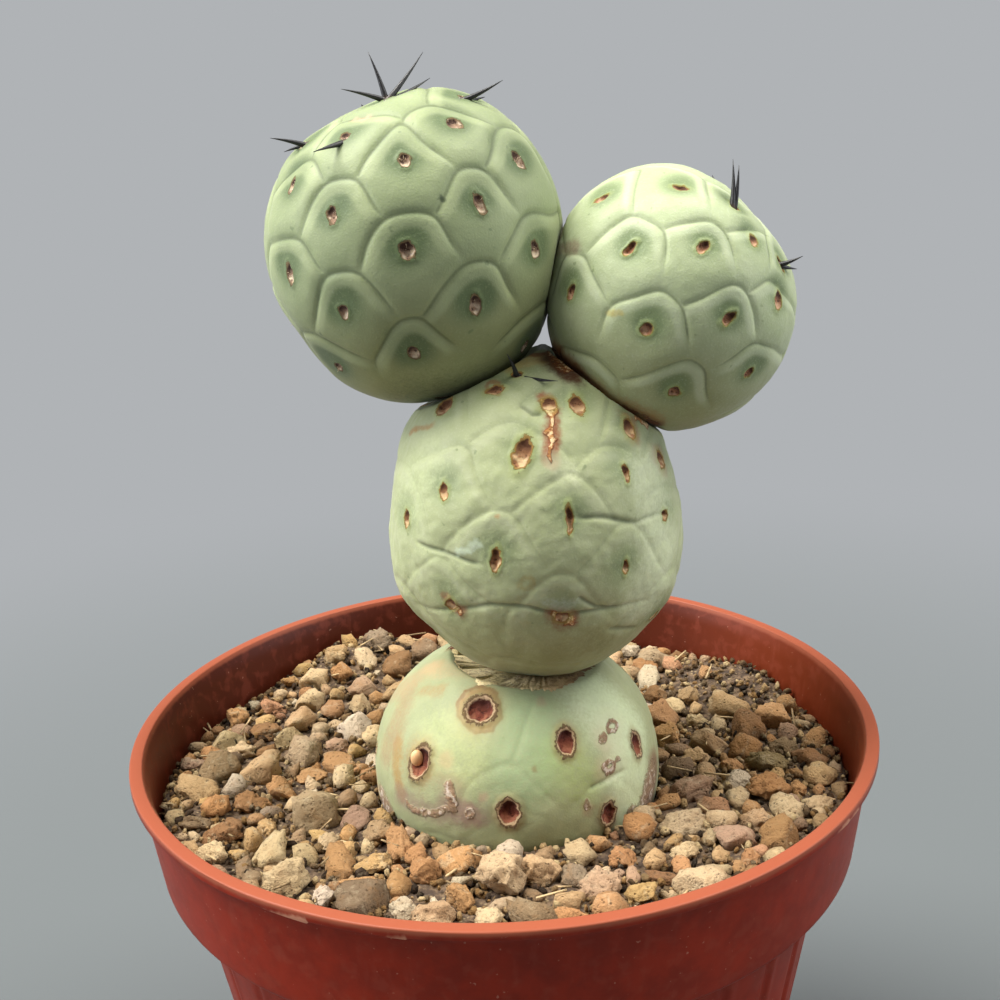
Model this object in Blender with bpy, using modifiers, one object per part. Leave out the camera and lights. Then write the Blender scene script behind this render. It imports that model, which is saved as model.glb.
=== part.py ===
"""A geometric cactus of four ball-shaped stem segments, standing in its plastic nursery pot.

Metres, +Z up. The origin is the middle of the pot's base, and the front faces -Y.
The front of the plant is laid out as it is seen from VIEW_POINT: a place on it is
given as (right, down) on a square of VIEW_SIZE by VIEW_SIZE picture points.
"""

import math
import random
from collections import namedtuple

import bmesh
import bpy
import numpy as np
from mathutils import Vector

MM = 0.001
GAP = 0.3 * MM                     # air between two pieces that touch

# Pot: a 12 cm nursery pot
POT_HEIGHT = 95 * MM
RIM_RADIUS = 60 * MM
BEAD_HEIGHT = 1.3 * MM
BEAD_DEPTH = 1.2 * MM              # how far the bead stands out past the collar
COLLAR_HEIGHT = 16.8 * MM
COLLAR_TAPER = 1.9 * MM
SHOULDER_HEIGHT = 1.9 * MM
SHOULDER_DEPTH = 4.3 * MM
BODY_TAPER = 0.168                 # radius lost per metre of height
WALL = 1.4 * MM
FLOOR = 1.8 * MM
FOOT_HEIGHT = 1.6 * MM
FOOT_WIDTH = 4.5 * MM
FLUTES = 32
FLUTE_DEPTH = 0.4 * MM
DRAIN_HOLES = 6
DRAIN_RADIUS = 4 * MM
DRAIN_CIRCLE = 24 * MM
FOOT_NOTCHES = 4
FOOT_NOTCH_WIDTH = 7 * MM

# Soil and gravel, as heights above the pot's base
SOIL_TOP = POT_HEIGHT - 14.6 * MM
BED_TOP = POT_HEIGHT - 9.6 * MM    # at the pot's middle
BED_SLOPE = 0.035                  # the gravel lies higher towards the front
BED_RINGS = 5
HEAPS = (((-30, 44), 15, 5.0), ((-52, -18), 12, 2.0))  # middle, width and height in millimetres
STONE_SEED = 17
STONE_TRIES = 2600
STONE_LARGEST = 4.2 * MM           # half a stone's length
STONE_SMALLEST = 3.1 * MM
STONE_FLATNESS = 0.7               # half height over half width
STONE_SINK = 0.2                   # how far the middle stands over the bed, in half heights
STONE_OVERLAP = 1.0               # how close two middles come, in sums of half widths
STONE_ROUGHNESS = 0.13

# The point that the front is laid out from, and its picture
VIEW_POINT = np.array((1.1, -176.1, 180.0)) * MM
VIEW_DOWN = math.radians(15.63)
VIEW_ROLL = math.radians(-2.53)
VIEW_SIZE = 1000
VIEW_FOCAL = 1150
SIGHT_STEPS = 5                    # rounds of finding where a line of sight meets a segment

# Skin of the segments; angles are measured at a segment's middle
AREOLE_SPACING = math.radians(30)
AREOLE_TRIES = 600                 # directions that the back's areoles are picked from
AREOLE_HOLLOW = math.radians(6.5)
AREOLE_DEPTH = 0.7 * MM
TUBERCLE_DROP = math.radians(6)    # a tubercle's middle lies this far below its areole
TUBERCLE_SHARE = 0.3               # or this share of the way to the next areole, if that is less
TUBERCLE_HEIGHT = 1.0 * MM
SHOULDER_ABOVE = math.radians(2.2)  # how soon a tubercle rises from the groove over it
SHOULDER_BELOW = math.radians(8)    # and from the groove under it
LIES_OVER = 0.25                   # cosine past which a neighbour counts as over a tubercle
CREASE_WIDTH = math.radians(2.6)
CREASE_DEPTH = 0.8 * MM
CREASE_STEPS = 12
CONTACT_SOFTNESS = 0.5 * MM        # how softly a ball flattens where it meets the next
GROOVE_STEP = math.radians(13)     # distance between the points along a groove
CORNER_MERGE = math.radians(5)     # corners of grooves this close become one
SHOULDER_RING = 0.8                # rings of points on a tubercle, as shares of its reach
HOLLOW_RING = 0.4

SPINE_RADIUS = 0.5 * MM
SPINE_ROOT = 1.5 * MM              # length sunk in the skin
SPINE_LENGTH = 3.5 * MM           # of the spines at the back; the front ones are given
SPINE_SIDES = 4
SPINE_SEED = 5
SPINE_LEAN = 0.7
SPINE_ZONE = math.radians(58)      # areoles this near the growing tip carry spines

ROOT_RADIUS = 5 * MM
ROOT_TIP_RADIUS = 1.2 * MM
ROOT_LENGTH = 30 * MM
HOLE_GAP = 0.8 * MM                # air round the buried part of the plant

Segment = namedtuple("Segment", "centre half_width half_height squareness growing_tip relief "
                     "areoles creases spines swells")

# Areoles, creases and spines are picture points. A spine is base, tip, and millimetres
# that its tip comes forward. A swell is a picture point, the width in degrees and the
# height in millimetres of a low rise or dip of the skin.
BASE = Segment(
    centre=np.array((2.0, -7.3, 89.2)) * MM, half_width=22.9 * MM, half_height=20.5 * MM,
    squareness=2.15, growing_tip=(0, 0, 1), relief=0.25,
    areoles=((480, 709), (419, 762), (566, 741), (509, 813), (637, 744), (609, 814)),
    creases=(), spines=(), swells=())

MIDDLE = Segment(
    centre=np.array((6.7, -7.1, 130.8)) * MM, half_width=22.65 * MM, half_height=25.3 * MM,
    squareness=2.12, growing_tip=(0, 0, 1), relief=0.75,
    areoles=((443, 405), (495, 388), (549, 402), (578, 404), (522, 452), (630, 428), (662, 459),
             (443, 491), (627, 473), (404, 519), (570, 520), (667, 515), (495, 561), (627, 568),
             (450, 606), (563, 620), (516, 372)),
    creases=(((415, 607), (530, 608), (563, 620), (650, 600)),
             ((575, 518), (640, 525), (667, 517)),
             ((415, 540), (450, 556), (480, 565))),
    spines=(((516, 372), (507, 354), 3), ((517, 372), (558, 381), 3)),
    swells=(((697, 475), 17, -1.2), ((382, 477), 12, -0.5), ((664, 590), 12, 0.9),
            ((405, 590), 16, 0.9)))

UPPER_LEFT = Segment(
    centre=np.array((-9.6, -4.1, 170.8)) * MM, half_width=21.9 * MM, half_height=22.95 * MM,
    squareness=2.06, growing_tip=(-0.2, 0.15, 0.97), relief=1.0,
    areoles=((404, 158), (455, 120), (521, 158), (343, 133), (289, 184), (330, 214), (481, 202),
             (407, 251), (538, 250), (287, 274), (342, 314), (477, 306), (414, 356), (337, 370),
             (386, 95), (465, 94), (302, 142)),
    creases=(),
    spines=(((385, 95), (368, 52), 1), ((386, 95), (423, 52), -2), ((385, 95), (341, 89), 3),
            ((387, 96), (430, 78), -4), ((464, 95), (503, 80), 1), ((464, 95), (485, 97), -3),
            ((302, 142), (270, 138), 2), ((301, 142), (284, 152), -1), ((343, 133), (314, 151), 4)),
    swells=(((343, 91), 26, -2.0), ((514, 142), 15, 0.8), ((297, 345), 16, -1.0)))

UPPER_RIGHT = Segment(
    centre=np.array((27.1, -6.6, 162.0)) * MM, half_width=18.4 * MM, half_height=19.5 * MM,
    squareness=2.06, growing_tip=(0.25, 0.2, 0.95), relief=0.9,
    areoles=((600, 196), (681, 185), (629, 247), (704, 246), (756, 239), (569, 292), (781, 300),
             (646, 330), (730, 319), (751, 374), (674, 394), (736, 204), (784, 263)),
    creases=(),
    spines=(((735, 204), (733, 159), 0), ((737, 204), (739, 165), 1), ((784, 263), (803, 256), 2),
            ((784, 263), (797, 269), -2)),
    swells=(((772, 186), 31, -2.3), ((597, 200), 15, 0.7)))

# Where two segments meet: the pair, and how the flattening is shared out between them
CONTACTS = ((BASE, MIDDLE, 0.85), (MIDDLE, UPPER_LEFT, 0.75), (MIDDLE, UPPER_RIGHT, 0.6),
            (UPPER_LEFT, UPPER_RIGHT, 0.5))

# Stones that stand out from the front: middle, width and height in picture points
FRONT_STONES = (
    ((376, 636), 34, 34), ((333, 650), 30, 22), ((291, 677), 26, 15), ((273, 702), 34, 26),
    ((232, 715), 26, 26), ((263, 727), 41, 22), ((244, 746), 36, 17), ((361, 702), 28, 26),
    ((338, 740), 29, 20), ((312, 769), 40, 19), ((312, 788), 29, 16), ((249, 798), 43, 29),
    ((194, 760), 29, 17), ((184, 777), 32, 19), ((194, 815), 46, 19), ((216, 829), 56, 22),
    ((208, 850), 41, 25), ((266, 819), 20, 29), ((327, 836), 24, 32), ((242, 860), 22, 40),
    ((286, 878), 51, 44), ((324, 892), 29, 28), ((360, 878), 47, 20), ((372, 858), 45, 24),
    ((398, 838), 30, 48), ((423, 865), 39, 32), ((462, 891), 35, 30), ((406, 905), 35, 30),
    ((433, 913), 49, 33), ((487, 912), 34, 28), ((502, 874), 53, 44), ((540, 866), 46, 34),
    ((574, 870), 29, 28), ((600, 880), 51, 38), ((568, 911), 52, 25), ((623, 851), 33, 22),
    ((651, 841), 27, 24), ((682, 815), 51, 36), ((684, 843), 37, 22), ((643, 886), 37, 30),
    ((664, 868), 50, 18), ((760, 814), 48, 24), ((750, 851), 22, 22), ((691, 784), 50, 32),
    ((768, 784), 46, 30), ((798, 780), 21, 27), ((821, 795), 39, 18), ((768, 757), 45, 23),
    ((787, 741), 41, 27), ((732, 759), 27, 18), ((696, 752), 32, 20), ((668, 730), 34, 29),
    ((696, 716), 32, 20), ((655, 691), 30, 21), ((688, 691), 23, 21), ((645, 663), 30, 18),
    ((632, 648), 20, 18), ((707, 666), 18, 16))

TERRACOTTA = (0.20, 0.045, 0.022)
EARTH = (0.10, 0.075, 0.055)
PUMICE = (0.56, 0.42, 0.26)
GREEN_SKIN = (0.33, 0.43, 0.25)
OLD_SKIN = (0.45, 0.57, 0.36)


def unit(vector):
    return vector / np.linalg.norm(vector, axis=-1, keepdims=True)


def view_axes():
    """Right, up and forward of the view that the front is laid out in."""
    forward = np.array((0, math.cos(VIEW_DOWN), -math.sin(VIEW_DOWN)))
    up = np.array((0, math.sin(VIEW_DOWN), math.cos(VIEW_DOWN)))
    right = np.array((1.0, 0, 0))
    turn, lean = math.cos(VIEW_ROLL), math.sin(VIEW_ROLL)
    return turn * right + lean * up, turn * up - lean * right, forward


def view_ray(spot):
    """The direction of sight through a picture point, one unit deep."""
    right, up, forward = view_axes()
    across = (spot[0] - VIEW_SIZE / 2) / VIEW_FOCAL
    down = (spot[1] - VIEW_SIZE / 2) / VIEW_FOCAL
    return forward + across * right - down * up


def bed_height(place):
    """The bed's height: a slope with low heaps against the wall."""
    height = BED_TOP - BED_SLOPE * place[1]
    for (across, back), wide, high in HEAPS:
        apart = math.hypot(place[0] / MM - across, place[1] / MM - back) / wide
        height += high * MM * math.exp(-apart ** 2)
    return height


def seen_on_gravel(spot, above):
    """The point at a small height over the gravel's bed that shows at a picture point."""
    ray = view_ray(spot)
    level = BED_TOP
    for _ in range(12):
        place = VIEW_POINT + ray * (level + above - VIEW_POINT[2]) / ray[2]
        level = bed_height(place)
    return place


def seen_on_ball(segment, spot, growth=1.0):
    """The direction from the segment's middle to its plain ball, grown, at a picture point."""
    shape = growth * np.array((segment.half_width, segment.half_width, segment.half_height))
    eye = (VIEW_POINT - segment.centre) / shape
    ray = view_ray(spot) / shape
    along, past, square = eye @ ray, eye @ eye - 1, ray @ ray
    reach = (-along - math.sqrt(max(along ** 2 - square * past, 0))) / square
    return unit((eye + reach * ray) * shape)


def smooth_radius(segment, directions):
    """A squarish ellipsoid with its swells."""
    power = segment.squareness
    flat = np.linalg.norm(directions[:, :2], axis=1) / segment.half_width
    tall = np.abs(directions[:, 2]) / segment.half_height
    radius = (flat ** power + tall ** power) ** (-1 / power)
    for spot, wide, high in segment.swells:
        apart = np.arccos(np.clip(directions @ seen_on_ball(segment, spot), -1, 1))
        radius += high * MM * np.exp(-(apart / math.radians(wide)) ** 2)
    return radius


def seen_on_segment(segment, spot):
    """The direction from the segment's middle to its smooth skin at a picture point."""
    shape = np.array((segment.half_width, segment.half_width, segment.half_height))
    found = seen_on_ball(segment, spot)
    for _ in range(SIGHT_STEPS):
        growth = smooth_radius(segment, found[None])[0] * np.linalg.norm(found / shape)
        found = seen_on_ball(segment, spot, growth)
    return found


def even_directions(count):
    """Directions spread evenly over a ball, along a golden-angle spiral."""
    turn = np.arange(count)
    height = 1 - 2 * (turn + 0.5) / count
    angle = turn * math.pi * (3 - math.sqrt(5))
    ring = np.sqrt(1 - height ** 2)
    return np.stack((ring * np.cos(angle), ring * np.sin(angle), height), axis=-1)


def all_areoles(segment):
    """The areoles seen from the front, then others in the widest spaces left over."""
    found = [seen_on_segment(segment, spot) for spot in segment.areoles]
    spots = even_directions(AREOLE_TRIES)
    while True:
        nearest = (spots @ np.array(found).T).max(axis=1)
        loneliest = nearest.argmin()
        if nearest[loneliest] > math.cos(AREOLE_SPACING):
            return np.array(found)
        found.append(spots[loneliest])


def tubercle_middles(segment, areoles):
    """Each tubercle reaches further below its areole, away from the growing tip."""
    tip = unit(np.array(segment.growing_tip, dtype=float))
    upward = tip - (areoles @ tip)[:, None] * areoles
    upward /= np.maximum(np.linalg.norm(upward, axis=1, keepdims=True), 0.3)
    nearest = np.arccos(np.sort(areoles @ areoles.T, axis=1)[:, -2])
    drop = np.minimum(TUBERCLE_DROP, TUBERCLE_SHARE * nearest)
    return unit(areoles - np.sin(drop)[:, None] * upward), upward


def groove_distances(directions, middles):
    """The nearest tubercle of each direction, and the distance to its groove with each other one."""
    nearness = directions @ middles.T
    own = nearness.argmax(axis=1)
    between = np.linalg.norm(middles[:, None] - middles[None], axis=2) + np.eye(len(middles))
    distances = (nearness[np.arange(len(own)), own][:, None] - nearness) / between[own]
    distances[np.arange(len(own)), own] = 9
    return own, distances


def crease_line(segment, spots):
    """Directions close together along a crease."""
    corners = [seen_on_segment(segment, spot) for spot in spots]
    steps = np.linspace(0, 1, CREASE_STEPS)[:, None]
    return unit(np.concatenate([a + (b - a) * steps for a, b in zip(corners, corners[1:])]))


def relief(segment, areoles, directions):
    """The height of the skin over the smooth ball."""
    middles, upward = tubercle_middles(segment, areoles)
    own, distances = groove_distances(directions, middles)
    over = np.einsum("ijk,ik->ij", unit(middles[None] - middles[:, None] + 1e-9), upward)
    rise = np.where(over > LIES_OVER, SHOULDER_ABOVE, SHOULDER_BELOW)[own]
    height = TUBERCLE_HEIGHT * (np.prod(1 - np.exp(-distances / rise), axis=1) - 1)
    apart = np.arccos(np.clip(directions @ areoles.T, -1, 1)).min(axis=1)
    height -= AREOLE_DEPTH * np.exp(-(apart / AREOLE_HOLLOW) ** 2)
    for spots in segment.creases:
        line = crease_line(segment, spots)
        apart = np.arccos(np.clip(directions @ line.T, -1, 1)).min(axis=1)
        height -= CREASE_DEPTH * np.exp(-(apart / CREASE_WIDTH) ** 2)
    return segment.relief * height


def skin_points(segment, areoles, directions):
    """Points on the skin: the smooth ball with its relief, flattened at its contacts."""
    radius = smooth_radius(segment, directions) + relief(segment, areoles, directions)
    points = segment.centre + directions * radius[:, None]
    for place, normal in contact_planes(segment):
        past = (points - place) @ normal + GAP / 2
        points -= np.outer(CONTACT_SOFTNESS * np.logaddexp(0, past / CONTACT_SOFTNESS), normal)
    return points


def contact_planes(segment):
    """A point and the outward normal of each plane that the segment stops short of."""
    planes = []
    for lower, upper, share in CONTACTS:
        if segment is not lower and segment is not upper:
            continue
        axis = unit(upper.centre - lower.centre)
        if lower is BASE:
            axis = np.array((0, 0, 1.0))
        reach_low = reach(lower, axis)
        reach_high = reach(upper, axis)
        overlap = reach_low + reach_high - (upper.centre - lower.centre) @ axis
        place = lower.centre + axis * (reach_low - share * overlap)
        planes.append((place, axis if segment is lower else -axis))
    return planes


def reach(segment, axis):
    """How far the plain ellipsoid reaches along a direction."""
    return math.hypot(segment.half_width * math.hypot(axis[0], axis[1]), segment.half_height * axis[2])


def material(name, colour, roughness):
    made = bpy.data.materials.new(name)
    made.use_nodes = True
    shader = made.node_tree.nodes["Principled BSDF"]
    shader.inputs["Base Color"].default_value = (*colour, 1)
    shader.inputs["Roughness"].default_value = roughness
    shader.inputs["Metallic"].default_value = 0
    return made


def add_object(name, mesh, collection):
    made = bpy.data.objects.new(name, mesh)
    collection.objects.link(made)
    return made


def mesh_from(bm, name):
    bmesh.ops.recalc_face_normals(bm, faces=bm.faces)
    mesh = bpy.data.meshes.new(name)
    bm.to_mesh(mesh)
    bm.free()
    return mesh


def turned(name, profile, sides, collection, centre=(0, 0)):
    """A solid turned round a vertical axis. Its closed profile runs down the outer side, and an
    edge that lies on the axis is left out."""
    pairs = [(number, (number + 1) % len(profile)) for number in range(len(profile))]
    edges = [pair for pair in pairs if profile[pair[0]][0] + profile[pair[1]][0] > 0]
    mesh = bpy.data.meshes.new(name)
    mesh.from_pydata([(radius, 0, height) for radius, height in profile], edges, [])
    made = add_object(name, mesh, collection)
    made.location = (*centre, 0)
    screw = made.modifiers.new("turn", "SCREW")
    screw.steps = screw.render_steps = sides
    screw.use_merge_vertices = True
    screw.merge_threshold = 0.00005
    return apply_modifiers(made)


def apply_modifiers(made):
    """Keeps the evaluated shape as the object's own mesh."""
    bpy.context.view_layer.update()
    evaluated = made.evaluated_get(bpy.context.evaluated_depsgraph_get())
    mesh = bpy.data.meshes.new_from_object(evaluated)
    made.modifiers.clear()
    made.data = mesh
    return made


def boolean(made, operation, tool):
    """Joins or cuts with an object, or with all the objects of a collection."""
    step = made.modifiers.new(operation.lower(), "BOOLEAN")
    step.operation = operation
    step.solver = "EXACT"
    if isinstance(tool, bpy.types.Collection):
        step.operand_type = "COLLECTION"
        step.collection = tool
    else:
        step.object = tool
    return apply_modifiers(made)


def remove_collection(collection):
    for piece in list(collection.objects):
        bpy.data.objects.remove(piece)
    bpy.data.collections.remove(collection)


def new_collection(name, hidden=False):
    made = bpy.data.collections.new(name)
    bpy.context.scene.collection.children.link(made)
    made.hide_render = hidden
    return made


def as_cutter(tool):
    tool.hide_render = True
    tool.display_type = "WIRE"
    return tool


def body_radius(height):
    """Outer radius of the pot's body under its shoulder."""
    top = POT_HEIGHT - COLLAR_HEIGHT - SHOULDER_HEIGHT
    return RIM_RADIUS - BEAD_DEPTH - COLLAR_TAPER - SHOULDER_DEPTH - (top - height) * BODY_TAPER


def pot_profile():
    """Outside from the rim down, across the foot and the floor, and up the inside."""
    collar_top = RIM_RADIUS - BEAD_DEPTH
    collar_foot = collar_top - COLLAR_TAPER
    shoulder = POT_HEIGHT - COLLAR_HEIGHT
    step = shoulder - SHOULDER_HEIGHT
    bead = POT_HEIGHT - BEAD_HEIGHT
    foot = body_radius(0)
    corner = BEAD_HEIGHT / 4
    outside = [(RIM_RADIUS - corner, POT_HEIGHT), (RIM_RADIUS, POT_HEIGHT - corner),
               (RIM_RADIUS, bead), (collar_top, bead), (collar_foot, shoulder)]
    for turn in (45, 90):
        angle = math.radians(turn)
        outside.append((collar_foot - SHOULDER_DEPTH * (1 - math.cos(angle)),
                        shoulder - SHOULDER_HEIGHT * math.sin(angle)))
    outside += [(body_radius(step - 4 * MM), step - 4 * MM), (body_radius(5 * MM), 5 * MM),
                (foot, corner), (foot - corner, 0)]
    under = [(foot - FOOT_WIDTH, 0), (foot - FOOT_WIDTH, FOOT_HEIGHT), (0, FOOT_HEIGHT)]
    inside = [(0, FOOT_HEIGHT + FLOOR), (body_radius(FOOT_HEIGHT + FLOOR) - WALL, FOOT_HEIGHT + FLOOR),
              (body_radius(step) - WALL, step + 0.8 * WALL),
              (collar_foot - WALL, shoulder + 0.6 * WALL), (collar_top - WALL, bead),
              (RIM_RADIUS - 2 * MM, POT_HEIGHT)]
    return outside + under + inside, step


def make_pot(parts, cutters):
    profile, step = pot_profile()
    pot = turned("pot", profile, 2 * FLUTES, parts)
    for vertex in pot.data.vertices:
        radius = math.hypot(vertex.co.x, vertex.co.y)
        on_body = 4 * MM < vertex.co.z < step - 3 * MM and radius > body_radius(vertex.co.z) - WALL / 2
        flute = math.atan2(vertex.co.y, vertex.co.x) * FLUTES / (2 * math.pi)
        if on_body and abs(flute - round(flute)) < 0.25:
            vertex.co.xy *= 1 - FLUTE_DEPTH / radius
    for number in range(DRAIN_HOLES):
        angle = 2 * math.pi * number / DRAIN_HOLES
        place = (DRAIN_CIRCLE * math.cos(angle), DRAIN_CIRCLE * math.sin(angle), FLOOR)
        bm = bmesh.new()
        bmesh.ops.create_cone(bm, cap_ends=True, segments=12, radius1=DRAIN_RADIUS,
                              radius2=DRAIN_RADIUS, depth=4 * FLOOR)
        bmesh.ops.translate(bm, vec=place, verts=bm.verts)
        as_cutter(add_object(f"drain_cutter_{number}", mesh_from(bm, "drain"), cutters))
    for number in range(FOOT_NOTCHES):
        angle = 2 * math.pi * (number + 0.5) / FOOT_NOTCHES
        bm = bmesh.new()
        bmesh.ops.create_cube(bm, size=1)
        bmesh.ops.scale(bm, vec=(4 * FOOT_WIDTH, FOOT_NOTCH_WIDTH, FOOT_HEIGHT), verts=bm.verts)
        bmesh.ops.translate(bm, vec=(body_radius(0) - FOOT_WIDTH / 2, 0, -0.02 * MM), verts=bm.verts)
        cutter = as_cutter(add_object(f"notch_cutter_{number}", mesh_from(bm, "notch"), cutters))
        cutter.rotation_euler.z = angle
    boolean(pot, "DIFFERENCE", cutters)
    pot.data.materials.append(material("terracotta_plastic", TERRACOTTA, 0.5))
    return pot


def hole_profile(top):
    """The plain hole that the base segment and its root stand in."""
    wide, deep = BASE.half_width + HOLE_GAP, BASE.half_height + HOLE_GAP
    middle = BASE.centre[2]
    power = 2 / BASE.squareness
    profile = [(0, top), (wide, top), (wide, middle)]
    for turn in range(12, 84, 12):
        angle = math.radians(turn)
        profile.append((wide * math.cos(angle) ** power, middle - deep * math.sin(angle) ** power))
    bottom = middle - BASE.half_height - ROOT_LENGTH - HOLE_GAP
    profile += [(ROOT_RADIUS + HOLE_GAP, middle - deep),
                (ROOT_TIP_RADIUS + HOLE_GAP, bottom), (0, bottom)]
    return profile


def make_potting_mix(parts, cutters):
    """The soil fills the pot up to the gravel's bed."""
    low = FOOT_HEIGHT + FLOOR + GAP
    shoulder = POT_HEIGHT - COLLAR_HEIGHT
    step = shoulder - SHOULDER_HEIGHT
    edge = wall_radius() - 2 * GAP
    profile = [(0, SOIL_TOP), (edge, SOIL_TOP), (edge - COLLAR_TAPER / 4, shoulder + 1.2 * WALL),
               (body_radius(step) - WALL - 2 * GAP, step + 1.2 * WALL),
               (body_radius(low) - WALL - 2 * GAP, low), (0, low)]
    soil = turned("potting_mix", profile, 48, parts)
    hole = turned("hole_cutter", hole_profile(POT_HEIGHT), 32, cutters, BASE.centre[:2])
    boolean(soil, "DIFFERENCE", as_cutter(hole))
    soil.data.materials.append(material("potting_mix", EARTH, 0.95))
    return soil


def wall_radius():
    """Inner radius of the collar at the foot of the gravel."""
    drop = (POT_HEIGHT - BEAD_HEIGHT - SOIL_TOP) / (COLLAR_HEIGHT - BEAD_HEIGHT)
    return RIM_RADIUS - BEAD_DEPTH - WALL - COLLAR_TAPER * drop


def clear_of_plant_and_wall(place, size):
    """Pushes a stone out from the base segment and in from the pot's wall."""
    offset = place - BASE.centre[:2]
    nearest = BASE.half_width + size + 2 * GAP
    if np.linalg.norm(offset) < nearest:
        place = BASE.centre[:2] + unit(offset) * nearest
    furthest = wall_radius() - size - 2 * GAP
    if np.linalg.norm(place) > furthest:
        place = unit(place) * furthest
    return place


def lay_stones():
    """Half length, half width, place and turn of each stone: the front ones, then a filling."""
    stones = []
    draw = random.Random(STONE_SEED)
    for spot, wide, high in FRONT_STONES:
        place = seen_on_gravel(spot, 2 * MM)
        depth = (place - VIEW_POINT) @ view_axes()[2]
        length = wide * depth / VIEW_FOCAL / 2
        width = high * depth / VIEW_FOCAL / 1.7
        turn = 0
        if width > length:
            length, width, turn = width, length, math.pi / 2
        turn += draw.uniform(-0.2, 0.2)
        stones.append((length, width, clear_of_plant_and_wall(place[:2], length), turn))
    for number in range(STONE_TRIES):
        length = STONE_LARGEST + (STONE_SMALLEST - STONE_LARGEST) * number / STONE_TRIES
        width = length * draw.uniform(0.65, 0.95)
        angle = draw.uniform(0, 2 * math.pi)
        out = wall_radius() * math.sqrt(draw.random())
        turn = draw.uniform(0, math.pi)
        place = np.array((out * math.cos(angle), out * math.sin(angle)))
        if np.linalg.norm(clear_of_plant_and_wall(place, length) - place) > 0:
            continue
        if all(np.linalg.norm(place - other[2]) > STONE_OVERLAP * (width + other[1]) for other in stones):
            stones.append((length, width, place, turn))
    return stones


def stone_mesh(length, width, draw):
    """A stone with angular faces."""
    bm = bmesh.new()
    bmesh.ops.create_icosphere(bm, subdivisions=1, radius=1)
    for vertex in bm.verts:
        vertex.co *= 1 - STONE_ROUGHNESS * draw.random()
    bmesh.ops.scale(bm, vec=(length, width, width * STONE_FLATNESS), verts=bm.verts)
    return mesh_from(bm, "stone")


def make_gravel(parts, cutters):
    """A bed with the stones sunk in it."""
    edge = wall_radius() - 2 * GAP
    profile = [(edge * ring / BED_RINGS, BED_TOP) for ring in range(BED_RINGS + 1)]
    profile += [(edge, SOIL_TOP + GAP), (0, SOIL_TOP + GAP)]
    gravel = turned("gravel", profile, 48, parts)
    for vertex in gravel.data.vertices:
        if vertex.co.z > BED_TOP - GAP:
            vertex.co.z = bed_height(vertex.co)
    hole = turned("gravel_hole_cutter", hole_profile(POT_HEIGHT), 32, cutters, BASE.centre[:2])
    boolean(gravel, "DIFFERENCE", as_cutter(hole))
    stones = new_collection("stones")
    draw = random.Random(STONE_SEED + 1)
    for length, width, place, turn in lay_stones():
        stone = add_object("stone", stone_mesh(length, width, draw), stones)
        tall = width * STONE_FLATNESS
        stone.location = (*place, bed_height(place) + STONE_SINK * tall)
        stone.rotation_euler = (0, 0, turn)
    boolean(gravel, "UNION", stones)
    remove_collection(stones)
    gravel.data.materials.append(material("pumice_gravel", PUMICE, 0.9))
    return gravel


def rounds_of_corners(middles):
    """The corners where three tubercles meet, and the order of the corners round each tubercle."""
    bm = bmesh.new()
    for middle in middles:
        bm.verts.new(middle)
    bmesh.ops.convex_hull(bm, input=bm.verts)
    bm.normal_update()
    bm.verts.index_update()
    bm.faces.index_update()
    corners = np.array([face.normal[:] for face in bm.faces])
    centres = np.array([face.calc_center_median()[:] for face in bm.faces])
    corners *= np.sign(np.sum(corners * centres, axis=1))[:, None]
    merged = (corners @ corners.T > math.cos(CORNER_MERGE)).argmax(axis=1)
    merged = merged[merged]
    rounds = []
    for vert in sorted(bm.verts, key=lambda vert: vert.index):
        middle = np.array(vert.co[:])
        across = unit(np.cross(middle, (0.3, 0.5, 0.8)))
        along = np.cross(middle, across)
        faces = sorted(vert.link_faces, key=lambda face: math.atan2(
            corners[face.index] @ along, corners[face.index] @ across))
        turns = [merged[face.index] for face in faces]
        rounds.append([turn for turn, before in zip(turns, turns[-1:] + turns[:-1]) if turn != before])
    bm.free()
    return corners, rounds


def groove_round(corners, corner_round, shared, directions):
    """Numbers of the points round one tubercle, which its neighbours share."""
    numbers = []
    for first, second in zip(corner_round, corner_round[1:] + corner_round[:1]):
        low, high = min(first, second), max(first, second)
        angle = math.acos(min(1, corners[low] @ corners[high]))
        count = max(1, round(angle / GROOVE_STEP))
        steps = range(count) if first == low else range(count, 0, -1)
        for step in steps:
            key = low if step == 0 else high if step == count else (low, high, step)
            if key not in shared:
                shared[key] = len(directions)
                directions.append(unit(corners[low] + (corners[high] - corners[low]) * step / count))
            numbers.append(shared[key])
    return numbers


def ball_of_tubercles(middles, areoles):
    """Directions and faces of a ball whose edges follow the grooves and ring every areole."""
    corners, rounds = rounds_of_corners(middles)
    directions, faces, shared = [], [], {}
    for middle, areole, corner_round in zip(middles, areoles, rounds):
        outer = groove_round(corners, corner_round, shared, directions)
        for share, centre in ((SHOULDER_RING, middle), (HOLLOW_RING, areole)):
            inner = [len(directions) + place for place in range(len(outer))]
            directions += [unit(centre + (directions[number] - centre) * share) for number in outer]
            for place in range(len(outer)):
                after = (place + 1) % len(outer)
                faces.append((outer[place], outer[after], inner[after], inner[place]))
            outer = inner
        top = len(directions)
        directions.append(areole)
        faces += [(outer[place], outer[(place + 1) % len(outer)], top) for place in range(len(outer))]
    return np.array(directions), faces


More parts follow.
